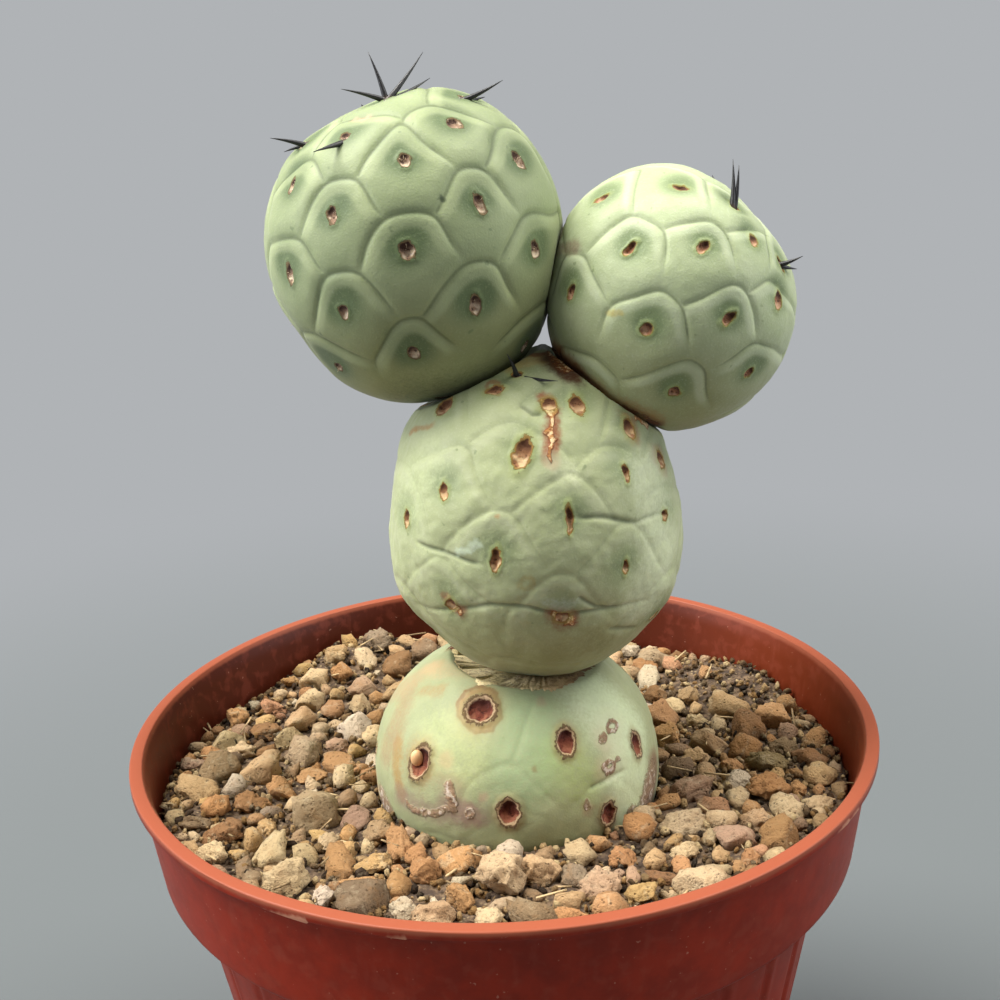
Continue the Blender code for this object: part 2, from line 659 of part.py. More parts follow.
def add_spine(base, tip, collection):
    """A stiff thorn, thick at its base, with its root sunk below it."""
    axis = unit(tip - base)
    root = base - axis * SPINE_ROOT
    bm = bmesh.new()
    bmesh.ops.create_cone(bm, cap_ends=True, segments=SPINE_SIDES, radius1=SPINE_RADIUS,
                          radius2=SPINE_RADIUS / 8, depth=np.linalg.norm(tip - root))
    spine = add_object("spine", mesh_from(bm, "spine"), collection)
    spine.location = (root + tip) / 2
    spine.rotation_mode = "QUATERNION"
    spine.rotation_quaternion = Vector(axis).to_track_quat("Z", "Y")


def clear_of_neighbours(segment, base, tip):
    """Whether a spine stays out of the segments that touch its own."""
    points = base + (tip - base) * np.linspace(0, 1.1, 12)[:, None]
    for lower, upper, _ in CONTACTS:
        if segment is lower or segment is upper:
            other = upper if segment is lower else lower
            shape = np.array((other.half_width, other.half_width, other.half_height)) + 2 * GAP
            if (np.linalg.norm((points - other.centre) / shape, axis=1) < 1).any():
                return False
    return True


def back_spines(segment, areoles, skin):
    """Two spines on each areole near the growing tip that the front doesn't show."""
    draw = random.Random(SPINE_SEED)
    tip = unit(np.array(segment.growing_tip, dtype=float))
    made = []
    for number in range(len(segment.areoles), len(areoles)):
        outward = areoles[number]
        if outward @ tip < math.cos(SPINE_ZONE):
            continue
        for _ in range(2):
            lean = np.array([draw.uniform(-SPINE_LEAN, SPINE_LEAN) for _ in range(3)])
            point = skin[number] + unit(outward + lean) * SPINE_LENGTH
            if clear_of_neighbours(segment, skin[number], point):
                made.append((skin[number], point))
    return made


def front_spines(segment, skin_at):
    """The spines seen from the front, from their bases and tips in the picture."""
    forward = view_axes()[2]
    made = []
    for base_spot, tip_spot, nearer in segment.spines:
        base = skin_at(seen_on_segment(segment, base_spot))
        depth = (base - VIEW_POINT) @ forward - nearer * MM
        made.append((base, VIEW_POINT + view_ray(tip_spot) * depth))
    return made


def make_segment(name, segment, parts, colour):
    """A ball-shaped stem segment with tubercles, areoles and spines, grown as one piece."""
    areoles = all_areoles(segment)
    middles, _ = tubercle_middles(segment, areoles)
    directions, faces = ball_of_tubercles(middles, areoles)
    mesh = bpy.data.meshes.new(name)
    mesh.from_pydata(skin_points(segment, areoles, directions), [], faces)
    bm = bmesh.new()
    bm.from_mesh(mesh)
    bmesh.ops.triangulate(bm, faces=bm.faces)
    made = add_object(name, mesh_from(bm, name), parts)
    skin = skin_points(segment, areoles, areoles)
    spines = front_spines(segment, lambda way: skin_points(segment, areoles, way[None])[0])
    if segment is not BASE:
        spines += back_spines(segment, areoles, skin)
    grown = new_collection(f"{name}_grown")
    for base, tip in spines:
        add_spine(base, tip, grown)
    if segment is BASE:
        add_tap_root(grown)
    boolean(made, "UNION", grown)
    remove_collection(grown)
    made.data.materials.append(material(name, colour, 0.6))
    return made


def add_tap_root(collection):
    """A short tapered root under the base segment."""
    top = BASE.centre[2] - BASE.half_height + 3 * MM
    length = ROOT_LENGTH + 3 * MM
    bm = bmesh.new()
    bmesh.ops.create_cone(bm, cap_ends=True, segments=12, radius1=ROOT_TIP_RADIUS,
                          radius2=ROOT_RADIUS, depth=length)
    root = add_object("root", mesh_from(bm, "root"), collection)
    root.location = (*BASE.centre[:2], top - length / 2)


def main():
    for old in list(bpy.data.objects):
        bpy.data.objects.remove(old)
    parts = new_collection("tephrocactus_in_pot")
    cutters = new_collection("cutters", hidden=True)
    make_pot(parts, cutters)
    make_potting_mix(parts, cutters)
    make_gravel(parts, cutters)
    make_segment("stem_segment_base", BASE, parts, OLD_SKIN)
    make_segment("stem_segment_middle", MIDDLE, parts, GREEN_SKIN)
    make_segment("stem_segment_upper_left", UPPER_LEFT, parts, GREEN_SKIN)
    make_segment("stem_segment_upper_right", UPPER_RIGHT, parts, GREEN_SKIN)


main()
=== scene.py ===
# %% [markdown]
# This script dresses a small potted cactus for its portrait. The solids of the pot, the soil, the
# gravel and the four ball-shaped stem segments are loaded first and give every size. Each step
# then makes one finer piece or one finish, and stands it exactly where its solid is.

# %% Load the frame
import math
import random
from collections import namedtuple

import bmesh
import bpy
import numpy as np
from mathutils import Matrix, Vector, noise


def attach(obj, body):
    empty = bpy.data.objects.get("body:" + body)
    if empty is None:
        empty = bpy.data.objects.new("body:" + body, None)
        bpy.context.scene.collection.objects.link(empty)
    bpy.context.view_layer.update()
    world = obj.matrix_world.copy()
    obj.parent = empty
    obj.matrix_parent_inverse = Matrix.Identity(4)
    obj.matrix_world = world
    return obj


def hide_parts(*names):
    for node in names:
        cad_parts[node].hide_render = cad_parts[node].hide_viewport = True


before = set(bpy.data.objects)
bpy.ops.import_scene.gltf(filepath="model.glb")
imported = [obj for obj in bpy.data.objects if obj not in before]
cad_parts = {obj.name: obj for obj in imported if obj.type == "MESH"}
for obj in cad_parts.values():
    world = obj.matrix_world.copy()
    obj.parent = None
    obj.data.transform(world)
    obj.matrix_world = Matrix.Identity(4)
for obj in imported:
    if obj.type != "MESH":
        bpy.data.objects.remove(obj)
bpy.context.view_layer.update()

MM = 0.001
NOISE_SEED = 3
noise.seed_set(NOISE_SEED)         # without it, noise vectors differ from run to run
print("solids:", sorted(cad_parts))

# %% [markdown]
# Colours are easiest to read as the hex codes that a paint program shows. Shaders work with the
# amount of light instead, which is not in step with those codes, so one function converts them.
# A second small function adds a node to any node tree and wires it up, so that the trees below
# read from top to bottom as recipes. Two more start a material and end it with its one shader.

# %% Colour and node helpers
def linear(code):
    """The linear colour of an sRGB hex code."""
    parts = [int(code[place:place + 2], 16) / 255 for place in (1, 3, 5)]
    return (*(((part + 0.055) / 1.055) ** 2.4 if part > 0.04045 else part / 12.92 for part in parts), 1)


def add(tree, kind, inputs=None, **settings):
    """Adds a node, sets its properties, and fills or links its sockets. A node given as a value
    stands for its first output."""
    made = tree.nodes.new(kind)
    for name, value in settings.items():
        setattr(made, name, value)
    for place, value in (inputs or {}).items():
        if isinstance(value, bpy.types.Node):
            value = value.outputs[0]
        if isinstance(value, bpy.types.NodeSocket):
            tree.links.new(value, made.inputs[place])
        else:
            made.inputs[place].default_value = value
    return made


def placed(name, data):
    """A new object in the scene."""
    made = bpy.data.objects.new(name, data)
    bpy.context.scene.collection.objects.link(made)
    return made


def unit(vector):
    return vector / np.linalg.norm(vector, axis=-1, keepdims=True)


def round_place(radius, angle):
    """The place at a radius and an angle round the origin."""
    return np.array((radius * math.cos(angle), radius * math.sin(angle)))


def ease(value, low, high):
    """A soft step from 0 at low to 1 at high."""
    share = np.clip((value - low) / (high - low), 0, 1)
    return share * share * (3 - 2 * share)


def new_material(name):
    """An empty material, its tree, and the place on the object in metres."""
    made = bpy.data.materials.new(name)
    made.use_nodes = True
    made.node_tree.nodes.clear()
    return made, made.node_tree, add(made.node_tree, "ShaderNodeTexCoord").outputs["Object"]


def finish_material(tree, colour, height, depth, strength=1.0, **other):
    """Ends a material: one shader, with a bump of a depth in metres."""
    bump = add(tree, "ShaderNodeBump", {"Height": height, "Strength": strength, "Distance": depth})
    shader = add(tree, "ShaderNodeBsdfPrincipled", {
        "Base Color": colour, "Normal": bump.outputs["Normal"],
        **{label.replace("_", " "): value for label, value in other.items()}})
    add(tree, "ShaderNodeOutputMaterial", {"Surface": shader})


def ring_faces(sides, columns):
    """Quads of a closed tube: sides of it, with a number of points across."""
    along, across = np.arange(sides)[:, None], np.arange(columns)[None]
    here, after = along * columns, (along + 1) % sides * columns
    beside = (across + 1) % columns
    return np.stack((here + across, after + across, after + beside, here + beside), axis=-1).reshape(-1, 4)


print("helpers ready; mid grey is", [round(part, 3) for part in linear("#808080")])

# %% [markdown]
# The photograph was taken from in front of the pot and a little above it. A camera in Blender
# looks along its own -Z axis, so its rotation is built from three directions: to the right, up,
# and back towards the viewer. The lens follows from the focal length in picture points.
# The same three directions are used backwards further on: a point of the picture gives a line of
# sight, and where that line meets a segment or the gravel is where a detail of the plant belongs.

# %% Camera
VIEW_POINT = np.array((1.1, -176.1, 180.0)) * MM
VIEW_DOWN = math.radians(15.63)
VIEW_ROLL = math.radians(-2.53)
VIEW_SIZE = 1000
VIEW_FOCAL = 1150
SENSOR = 36


def view_axes():
    forward = np.array((0, math.cos(VIEW_DOWN), -math.sin(VIEW_DOWN)))
    up = np.array((0, math.sin(VIEW_DOWN), math.cos(VIEW_DOWN)))
    right = np.array((1.0, 0, 0))
    turn, lean = math.cos(VIEW_ROLL), math.sin(VIEW_ROLL)
    return turn * right + lean * up, turn * up - lean * right, forward


def view_ray(spot):
    """The direction of sight through a picture point, one unit deep."""
    right, up, forward = view_axes()
    across = (spot[0] - VIEW_SIZE / 2) / VIEW_FOCAL
    down = (spot[1] - VIEW_SIZE / 2) / VIEW_FOCAL
    return forward + across * right - down * up


camera_data = bpy.data.cameras.new("camera")
camera_data.sensor_width = SENSOR
camera_data.lens = SENSOR * VIEW_FOCAL / VIEW_SIZE
camera_data.clip_start = 10 * MM
camera = placed("camera", camera_data)
right, up, forward = view_axes()
camera.matrix_world = Matrix([(*row, place) for row, place in
                              zip(np.stack((right, up, -forward), axis=-1), VIEW_POINT)] + [(0, 0, 0, 1)])
bpy.context.scene.camera = camera
print("lens", round(camera_data.lens, 1), "mm")

# %% [markdown]
# A finished piece is a plain mesh at the origin with its place in its points. This helper makes
# one from arrays of points and faces, gives it a material and any values that the material wants
# to read at every point, and tells the frame what it rides on.

# %% Making a piece
VALUE_KINDS = {1: ("FLOAT", "value"), 3: ("FLOAT_VECTOR", "vector"), 4: ("FLOAT_COLOR", "color")}


def new_mesh(name, points, faces, values):
    """A mesh whose points carry named numbers, vectors or colours."""
    mesh = bpy.data.meshes.new(name)
    mesh.from_pydata(np.asarray(points).tolist(), [], faces)
    for label, numbers in values.items():
        numbers = np.asarray(numbers, dtype=np.float32)
        kind, field = VALUE_KINDS[numbers.shape[1] if numbers.ndim == 2 else 1]
        mesh.attributes.new(label, kind, "POINT").data.foreach_set(field, numbers.ravel())
    return mesh


def result_of(thing):
    """The mesh that an object's modifiers make."""
    bpy.context.view_layer.update()
    return bpy.data.meshes.new_from_object(thing.evaluated_get(bpy.context.evaluated_depsgraph_get()))


def triangles(piece):
    return sum(len(face.vertices) - 2 for face in piece.data.polygons)


def ride(piece):
    """The frame carries the piece, and its size is printed."""
    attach(piece, "root")
    print(piece.name, triangles(piece), "triangles")


def add_piece(name, points, faces, material, values=None):
    """A smooth piece, carried by the frame."""
    mesh = new_mesh(name, points, np.asarray(faces).tolist(), values or {})
    mesh.materials.append(material)
    mesh.polygons.foreach_set("use_smooth", [True] * len(mesh.polygons))
    mesh.update()
    made = placed(name, mesh)
    ride(made)
    return made


def stand_for(node):
    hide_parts(node)


print("piece helper ready")

# %% [markdown]
# Each stem segment of this cactus is a nearly round ball. Its skin is laid out in low, six-sided
# tubercles, and each carries an areole, the small woolly pit that spines grow from. The tubercles
# are not measured one by one. They follow a rule: every point of the skin belongs to the nearest
# tubercle, and the borders between them are the grooves. Only the areoles that the photograph
# shows are given, as picture points, and the ones round the back fill the widest empty places.

# %% The segments and what grows on them
Segment = namedtuple("Segment", "name centre half_width half_height squareness growing_tip relief "
                     "lumps areoles creases spines swells patches stains")
# An areole is a picture point, then its width, height, lean in degrees and depth, in millimetres
FRESH_AREOLE = (1.7, 2.7, 0, 0.6)
# A swell is a picture point, the width in degrees and the height in millimetres of a low rise or
# dip. A patch of cork is a line of picture points, how far it reaches to each side in millimetres,
# and how solid it is. A stain has a line and a reach too, then its colour and how strong it is.
# A few of the stain entries are painted light or painted shade instead.


def ring(middle, radius, count=10):
    """Picture points round a circle."""
    return tuple(middle + round_place(radius, 2 * math.pi * number / count) for number in range(count + 1))


BASE = Segment(
    name="base", centre=np.array((2.0, -7.3, 89.2)) * MM, half_width=22.9 * MM,
    half_height=20.5 * MM, squareness=2.15, growing_tip=(0, 0, 1), relief=0.25, lumps=0.25,
    areoles=((480, 709, 4.9, 4.7, 0, 0.9), (419, 762, 3.6, 5.4, 12, 1.0),
             (566, 741, 3.0, 4.4, 15, 0.9), (509, 813, 3.3, 4.2, 0, 0.9),
             (637, 744, 2.6, 4.0, 15, 0.7), (609, 814, 2.8, 3.8, 0, 0.7)),
    creases=(((588, 792), (606, 783), (624, 770)),), spines=(), swells=(),
    patches=((ring((611, 727), 5), 0.35, 1.1), (ring((603, 737), 3), 0.3, 1.0),
             (ring((610, 766), 5), 0.4, 1.1), (((618, 761), (620, 760)), 0.5, 0.8),
             (((447, 786), (451, 803)), 0.9, 1.1), (ring((470, 815), 4), 0.3, 1.1),
             (((588, 800), (588, 807)), 0.5, 0.8), (((407, 806), (425, 814), (452, 810)), 0.7, 0.8),
             (((652, 780), (645, 812), (632, 842)), 2.8, 0.95), (((632, 812), (622, 846)), 1.6, 0.8),
             (((383, 800), (395, 826), (418, 844)), 2.4, 1.0), (((420, 852), (500, 862)), 1.0, 0.75),
             (((540, 862), (600, 852)), 1.2, 0.7)),
    stains=((((611, 727), (612, 732)), 3.4, "#a07c66", 0.55),
            (((603, 736), (604, 740)), 1.6, "#98715a", 0.5),
            (((606, 768), (618, 761)), 2.2, "#9c765f", 0.6),
            (((541, 702), (542, 703)), 0.9, "#a5806a", 0.6),
            (((445, 757), (446, 761)), 1.2, "#a5806a", 0.65),
            (((449, 786), (452, 804)), 2.4, "#8f7668", 0.6),
            (((470, 813), (472, 818)), 1.8, "#957a68", 0.6),
            (((482, 797), (483, 798)), 0.9, "#a07e6a", 0.6),
            (((535, 769), (535, 770)), 0.45, "#80492c", 0.9),
            (((587, 806), (588, 809)), 1.1, "#957a68", 0.6),
            (ring((480, 709), 19, 16), 0.7, "#a07c50", 0.75),
            (ring((480, 709), 23, 18), 0.3, "#75502f", 0.7),
            (((480, 705), (480, 713)), 4.6, "#9a8458", 0.5),
            (((418, 756), (421, 768)), 3.4, "#94683a", 0.5),
            (((566, 738), (567, 745)), 2.5, "#7d5f3c", 0.55),
            (((509, 809), (510, 817)), 2.6, "#5f4630", 0.6),
            (((637, 740), (638, 750)), 2.0, "#7d6a40", 0.6),
            (((609, 810), (610, 818)), 3.0, "#6c5c46", 0.6),
            (((398, 742), (397, 775), (401, 795)), 1.6, "#9a7844", 0.6),
            (((405, 700), (386, 750)), 3.2, "#95795a", 0.5),
            (((392, 694), (430, 668)), 3.0, "#a58a68", 0.5),
            (((425, 690), (440, 690)), 1.6, "#98784e", 0.45),
            (((400, 798), (430, 812), (480, 816)), 2.2, "#857264", 0.6),
            (((566, 762), (580, 780)), 5.0, "#9cab62", 0.4),
            (((530, 720), (520, 780)), 6.0, "#8fa67c", 0.45),
            (((440, 735), (460, 760)), 5.0, "#b3ba80", 0.4),
            (((430, 668), (560, 678)), 2.4, "#b39c76", 0.45),
            # painted light on the right side of the segment
            (((594, 695), (630, 735), (634, 790)), 6.5, "#c2cda6", 0.75),
            (((655, 768), (650, 800), (636, 836)), 3.3, "#7c6048", 0.85),
            (((376, 785), (388, 828), (410, 848)), 2.8, "#bb9a70", 0.75),
            (((460, 846), (560, 858), (610, 846)), 1.8, "#7a7350", 0.3)))

MIDDLE = Segment(
    name="middle", centre=np.array((6.7, -7.1, 130.8)) * MM, half_width=22.65 * MM,
    half_height=25.3 * MM, squareness=2.12, growing_tip=(0, 0, 1), relief=0.62, lumps=0.5,
    areoles=((443, 405, 3.0, 3.4, -25, 0.9), (495, 388, 2.6, 1.8, -30, 0.5),
             (549, 402, 2.2, 2.4, 0, 0.5), (578, 404, 2.1, 3.5, 5, 0.5),
             (522, 452, 2.5, 5.0, 15, 0.7), (630, 428, 1.9, 3.2, 10, 0.6),
             (662, 459, 2.0, 3.0, 0, 0.4), (443, 491, 1.6, 2.5, -15, 0.6),
             (627, 473, 1.1, 2.7, 0, 0.9), (404, 519, 1.8, 3.0, 0, 0.6),
             (570, 520, 1.2, 4.3, 0, 1.0), (667, 515, 1.6, 2.0, 0, 0.8),
             (495, 561, 1.6, 3.9, 8, 0.8), (627, 568, 1.1, 2.5, 0, 0.9),
             (450, 606, 1.8, 2.6, 35, 0.6), (563, 620, 2.4, 1.6, 0, 0.6),
             (516, 372, 1.6, 1.6, 0, 0.5)),
    creases=(((415, 607), (530, 608), (563, 620), (612, 609), (650, 600)),
             ((575, 518), (600, 519), (640, 525), (667, 517)),
             ((415, 540), (450, 556), (480, 565)), ((579, 597), (599, 608), (618, 609)),
             ((609, 629), (637, 629)), ((517, 402), (532, 411), (543, 410))),
    spines=(((516, 372), (507, 354), 3), ((517, 372), (558, 381), 3)),
    swells=(((697, 475), 17, -1.2), ((382, 477), 12, -0.5), ((664, 590), 12, 0.9), ((405, 590), 16, 0.9),
            ((668, 428), 13, -1.6)),
    patches=((((544, 399), (548, 405), (553, 412)), 0.75, 1.1), (((552, 414), (550, 428)), 0.35, 1.0),
             (((549, 430), (551, 437)), 0.5, 1.15), (((551, 440), (552, 458)), 0.3, 0.85),
             (((560, 618), (568, 624)), 1.0, 0.8), (((552, 352), (566, 366)), 1.2, 0.75),
             (((637, 416), (648, 424)), 0.7, 0.8), (((450, 602), (458, 614)), 0.5, 0.8)),
    stains=((((545, 395), (553, 410), (551, 440), (552, 458)), 1.3, "#8a4526", 0.75),
            (((495, 516), (497, 516)), 0.5, "#bd8450", 0.5), (ring((527, 586), 7), 0.5, "#a58f4e", 0.4),
            (((456, 551), (467, 549), (477, 544)), 0.7, "#c9d6bc", 0.6),
            (((556, 462), (572, 472)), 1.7, "#cfd3ad", 0.5),
            # painted light on the crown shaded by the upper pair, over its own tan
            (((515, 362), (530, 356), (542, 358)), 2.2, "#a08a52", 0.6),
            (((553, 358), (572, 374)), 2.2, "#52301c", 0.9),
            (((530, 352), (548, 352), (560, 366)), 0.8, "#7a4a26", 0.75),
            (((410, 431), (418, 428), (430, 423)), 0.7, "#a87a44", 0.6),
            (((660, 455), (664, 464)), 1.9, "#95604c", 0.65),
            (((630, 423), (634, 433)), 1.9, "#94583a", 0.6), (ring((494, 386), 7), 0.45, "#8a542e", 0.6),
            (((560, 620), (567, 622)), 2.0, "#85462e", 0.7),
            (((447, 600), (458, 612)), 1.3, "#8f5a3c", 0.6),
            (((545, 606), (575, 604)), 1.0, "#c6cfc4", 0.3),
            # painted light: this pale stain on the right side, and the first on the next line, on the left
            (((652, 480), (664, 550), (645, 600)), 5.0, "#ccd3ae", 0.6),
            (((408, 500), (425, 460)), 5.0, "#c2cb9c", 0.4), (((600, 640), (560, 655)), 4.0, "#7f7f50", 0.4)))

UPPER_LEFT = Segment(
    name="upper_left", centre=np.array((-9.6, -4.1, 170.8)) * MM, half_width=21.9 * MM,
    half_height=22.95 * MM, squareness=2.06, growing_tip=(-0.2, 0.15, 0.97), relief=1.0, lumps=0.12,
    areoles=((404, 158), (455, 120, 2.2, 2.6, -35, 0.5), (521, 158, 1.7, 3.0, -25, 0.5),
             (343, 133, 1.6, 2.0, 0, 0.5), (289, 184, 1.5, 2.6, 10, 0.4), (330, 214, 1.7, 2.6, 0, 0.5),
             (481, 202, 1.7, 3.3, -8, 0.6), (407, 251, 2.3, 2.6, -8, 0.7), (538, 250, 2.0, 2.8, -15, 0.5),
             (287, 274, 1.8, 3.2, 0, 0.5), (342, 314, 1.8, 2.2, 0, 0.5), (477, 306, 1.7, 3.3, 0, 0.7),
             (414, 356, 1.9, 2.4, -20, 0.5), (337, 370, 2.2, 1.6, -20, 0.4), (386, 95), (465, 94),
             (302, 142)),
    creases=(),
    spines=(((385, 95), (368, 52), 1), ((386, 95), (423, 52), -2), ((385, 95), (341, 89), 3),
            ((387, 96), (430, 78), -4), ((464, 95), (503, 80), 1), ((464, 95), (485, 97), -3),
            ((302, 142), (270, 138), 2), ((301, 142), (284, 152), -1), ((340, 139), (313, 152), 4)),
    swells=(((343, 91), 26, -2.0), ((514, 142), 15, 0.8), ((297, 345), 16, -1.0)),
    patches=(),
    stains=((((443, 197), (444, 198)), 0.5, "#46503a", 0.85), (((352, 115), (364, 114)), 0.8, "#c6a58a", 0.6),
            # painted shade on the underside, where the segment meets the middle one
            (((505, 385), (430, 398)), 7.0, "#474b2a", 0.5)))

UPPER_RIGHT = Segment(
    name="upper_right", centre=np.array((27.1, -6.6, 162.0)) * MM, half_width=18.4 * MM,
    half_height=19.5 * MM, squareness=2.06, growing_tip=(0.25, 0.2, 0.95), relief=0.9, lumps=0.2,
    areoles=((600, 196, 1.2, 2.5, 40, 0.6), (681, 185, 2.5, 1.5, -5, 0.6), (629, 247, 1.4, 2.5, 30, 0.9),
             (704, 246, 1.6, 2.6, 28, 0.7), (756, 239, 1.9, 2.3, 10, 0.4), (569, 292, 1.6, 2.6, 20, 0.7),
             (781, 300, 2.2, 3.0, 10, 0.5), (646, 330, 1.9, 2.1, 40, 0.7), (730, 319, 1.6, 2.7, 35, 0.9),
             (751, 374, 1.5, 1.9, 35, 0.6), (674, 394, 1.9, 2.0, 30, 0.5), (736, 204), (784, 263)),
    creases=(),
    spines=(((735, 204), (733, 159), 0), ((737, 204), (739, 165), 1), ((784, 263), (803, 256), 2),
            ((784, 263), (797, 269), -2)),
    swells=(((772, 186), 31, -2.3), ((597, 200), 15, 0.7), ((553, 238), 11, 0.7)),
    patches=((((552, 352), (575, 378), (605, 402), (650, 423)), 1.0, 0.9),),
    stains=((((549, 346), (575, 376), (605, 400), (648, 420)), 3.0, "#a5733c", 0.5),
            (((550, 350), (577, 380), (607, 404), (650, 424)), 1.7, "#59301a", 0.9),
            (((560, 360), (590, 388)), 2.4, "#70401e", 0.7),
            (((607, 312), (621, 311)), 0.6, "#b5a866", 0.6), (((560, 248), (575, 246)), 1.3, "#8f7a66", 0.6)))

SEGMENTS = (BASE, MIDDLE, UPPER_LEFT, UPPER_RIGHT)
# Two segments that touch, and the share of their overlap that the lower one gives up
CONTACTS = ((BASE, MIDDLE, 0.85), (MIDDLE, UPPER_LEFT, 0.75), (MIDDLE, UPPER_RIGHT, 0.6),
            (UPPER_LEFT, UPPER_RIGHT, 0.5))


def half_sizes(segment):
    return np.array((segment.half_width, segment.half_width, segment.half_height))


def tip_direction(segment):
    return unit(np.array(segment.growing_tip, dtype=float))


def neighbours(segment):
    """Each contact of the segment, and which other segment it touches there."""
    return [(lower, upper, share, upper if segment is lower else lower)
            for lower, upper, share in CONTACTS if segment is lower or segment is upper]


print({segment.name: len(segment.areoles) for segment in SEGMENTS}, "areoles seen from the front")

# %% Where the areoles sit
AREOLE_SPACING = math.radians(30)
AREOLE_TRIES = 600
TUBERCLE_DROPS = {"base": 4, "middle": 0.5, "upper_left": 3.2, "upper_right": 3.6}     # degrees
LINE_STEP = 10                     # picture points between the corners of a line on the skin
SIGHT_STEPS = 5                    # rounds of finding where a line of sight meets a segment


def seen_on_ball(segment, spot, growth=1.0):
    """The direction from the segment's middle to its plain ball, grown, at a picture point."""
    shape = growth * half_sizes(segment)
    eye = (VIEW_POINT - segment.centre) / shape
    ray = view_ray(spot) / shape
    along, past, square = eye @ ray, eye @ eye - 1, ray @ ray
    reach = (-along - math.sqrt(max(along ** 2 - square * past, 0))) / square
    return unit((eye + reach * ray) * shape)


def smooth_radius(segment, directions):
    """A squarish ellipsoid with its swells."""
    flat = np.linalg.norm(directions[:, :2], axis=1) / segment.half_width
    tall = np.abs(directions[:, 2]) / segment.half_height
    radius = (flat ** segment.squareness + tall ** segment.squareness) ** (-1 / segment.squareness)
    for spot, wide, high in segment.swells:
        apart = np.arccos(np.clip(directions @ seen_on_ball(segment, spot), -1, 1))
        radius += high * MM * np.exp(-(apart / math.radians(wide)) ** 2)
    return radius


def seen_on_segment(segment, spot):
    """The direction from the segment's middle to its smooth skin at a picture point."""
    found = seen_on_ball(segment, spot)
    for _ in range(SIGHT_STEPS):
        growth = smooth_radius(segment, found[None])[0] * np.linalg.norm(found / half_sizes(segment))
        found = seen_on_ball(segment, spot, growth)
    return found


def even_directions(count):
    """Directions spread evenly over a ball, along a golden-angle spiral."""
    turn = np.arange(count)
    height = 1 - 2 * (turn + 0.5) / count
    angle = turn * math.pi * (3 - math.sqrt(5))
    flat = np.sqrt(1 - height ** 2)
    return np.stack((flat * np.cos(angle), flat * np.sin(angle), height), axis=-1)


def all_areoles(segment):
    """The areoles seen from the front, then others in the widest spaces left over."""
    found = [seen_on_segment(segment, spot) for spot in segment.areoles]
    spots = even_directions(AREOLE_TRIES)
    while True:
        nearest = (spots @ np.array(found).T).max(axis=1)
        loneliest = nearest.argmin()
        if nearest[loneliest] > math.cos(AREOLE_SPACING):
            return np.array(found)
        found.append(spots[loneliest])


def tubercle_middles(segment, areoles):
    """Each tubercle reaches further below its areole, away from the growing tip."""
    tip = tip_direction(segment)
    upward = tip - (areoles @ tip)[:, None] * areoles
    upward /= np.maximum(np.linalg.norm(upward, axis=1, keepdims=True), 0.3)
    return unit(areoles - math.sin(math.radians(TUBERCLE_DROPS[segment.name])) * upward), upward


def line_distances(segment, spots, directions):
    """The angle from each direction to a line of picture points, and how far along the line."""
    fine = [spots[0]]
    for start, end in zip(spots, spots[1:]):
        parts = math.ceil(math.dist(start, end) / LINE_STEP)
        step = (np.array(end) - start) / parts
        fine += [start + (part + 1) * step for part in range(parts)]
    corners = [seen_on_segment(segment, spot) for spot in fine]
    best, place = np.full(len(directions), 9.0), np.zeros(len(directions))
    for number, (start, end) in enumerate(zip(corners, corners[1:])):
        step = end - start
        along = np.clip((directions - start) @ step / (step @ step), 0, 1)
        apart = np.linalg.norm(directions - start - np.outer(along, step), axis=1)
        place = np.where(apart < best, (number + along) / (len(corners) - 1), place)
        best = np.minimum(best, apart)
    return best, place


print({segment.name: len(all_areoles(segment)) for segment in SEGMENTS}, "areoles in all")

# %% [markdown]
# A tubercle stands highest along an arch over its areole. There the skin drops sharply into the
# groove, and the tubercle above rises out of it again only slowly, so that each looks as if it
# were tucked under the next. Lower down the grooves fade away. All of this is one height for
# every direction from the segment's middle, so the mesh needs no sculpting: a fine even ball is
# blown up, its points are moved by that height, and where two segments press on each other the
# skin goes flat.

# %% The height of the skin
TUBERCLE_HEIGHT = 0.3 * MM
OLDEST = (-0.92, -0.7)             # tubercles have filled out this far from the growing tip
SHOULDER_ABOVE = math.radians(2.2)
SHOULDER_BELOW = math.radians(4)
ARCH_SOFTNESS = math.radians(1.7)  # rounds the corners of the arches
ARCH_NEIGHBOURS = math.radians(52)
GROOVE_FADE = (math.radians(-11), math.radians(2))
GROOVE_REST = 0.07
LINE_WIDTH = math.radians(0.85)
LINE_DEPTH = 0.2 * MM
# the painted highlight inside each arch: how far in it lies, and how wide it is
BAND_PLACE = math.radians(3.2)
BAND_WIDTH = math.radians(2.3)
HOLLOW_WIDTH = math.radians(9.4)
HOLLOW_RISE = math.radians(3.2)
HOLLOW_DEPTH = 0.45 * MM
SETTLE = 0.15 * MM                 # the fine skin as a whole lies this much lower
CREASE_WIDTH = math.radians(0.9)
CREASE_SLOPE = math.radians(3.5)
CREASE_DEPTH = 0.45 * MM
CREASE_SHARE = 0.65                # the sharp part of a crease; the rest is its slope
CREASE_TAPER = (-0.08, 0.15)       # share of its length over which it starts and ends
WANDER_SIZE = 7 * MM               # grooves stray from straight lines
WANDER = 0.035
FRAY_SIZE = 0.9 * MM               # edges of scars are ragged
FRAY = 0.014
LUMP_SIZE = 9 * MM
LUMP_HEIGHT = 0.5 * MM
GAP = 0.3 * MM
SKIN_GAP = 0.1 * MM                # the fine skins all but touch
CONTACT_SOFTNESS = 0.18 * MM
CONTACT_REACH = (1.05, 1.0)        # as a share of the way from the other segment's middle to its skin
BASE_REACH = (1.12, 1.03)          # the same on the base, which sags away under the collar


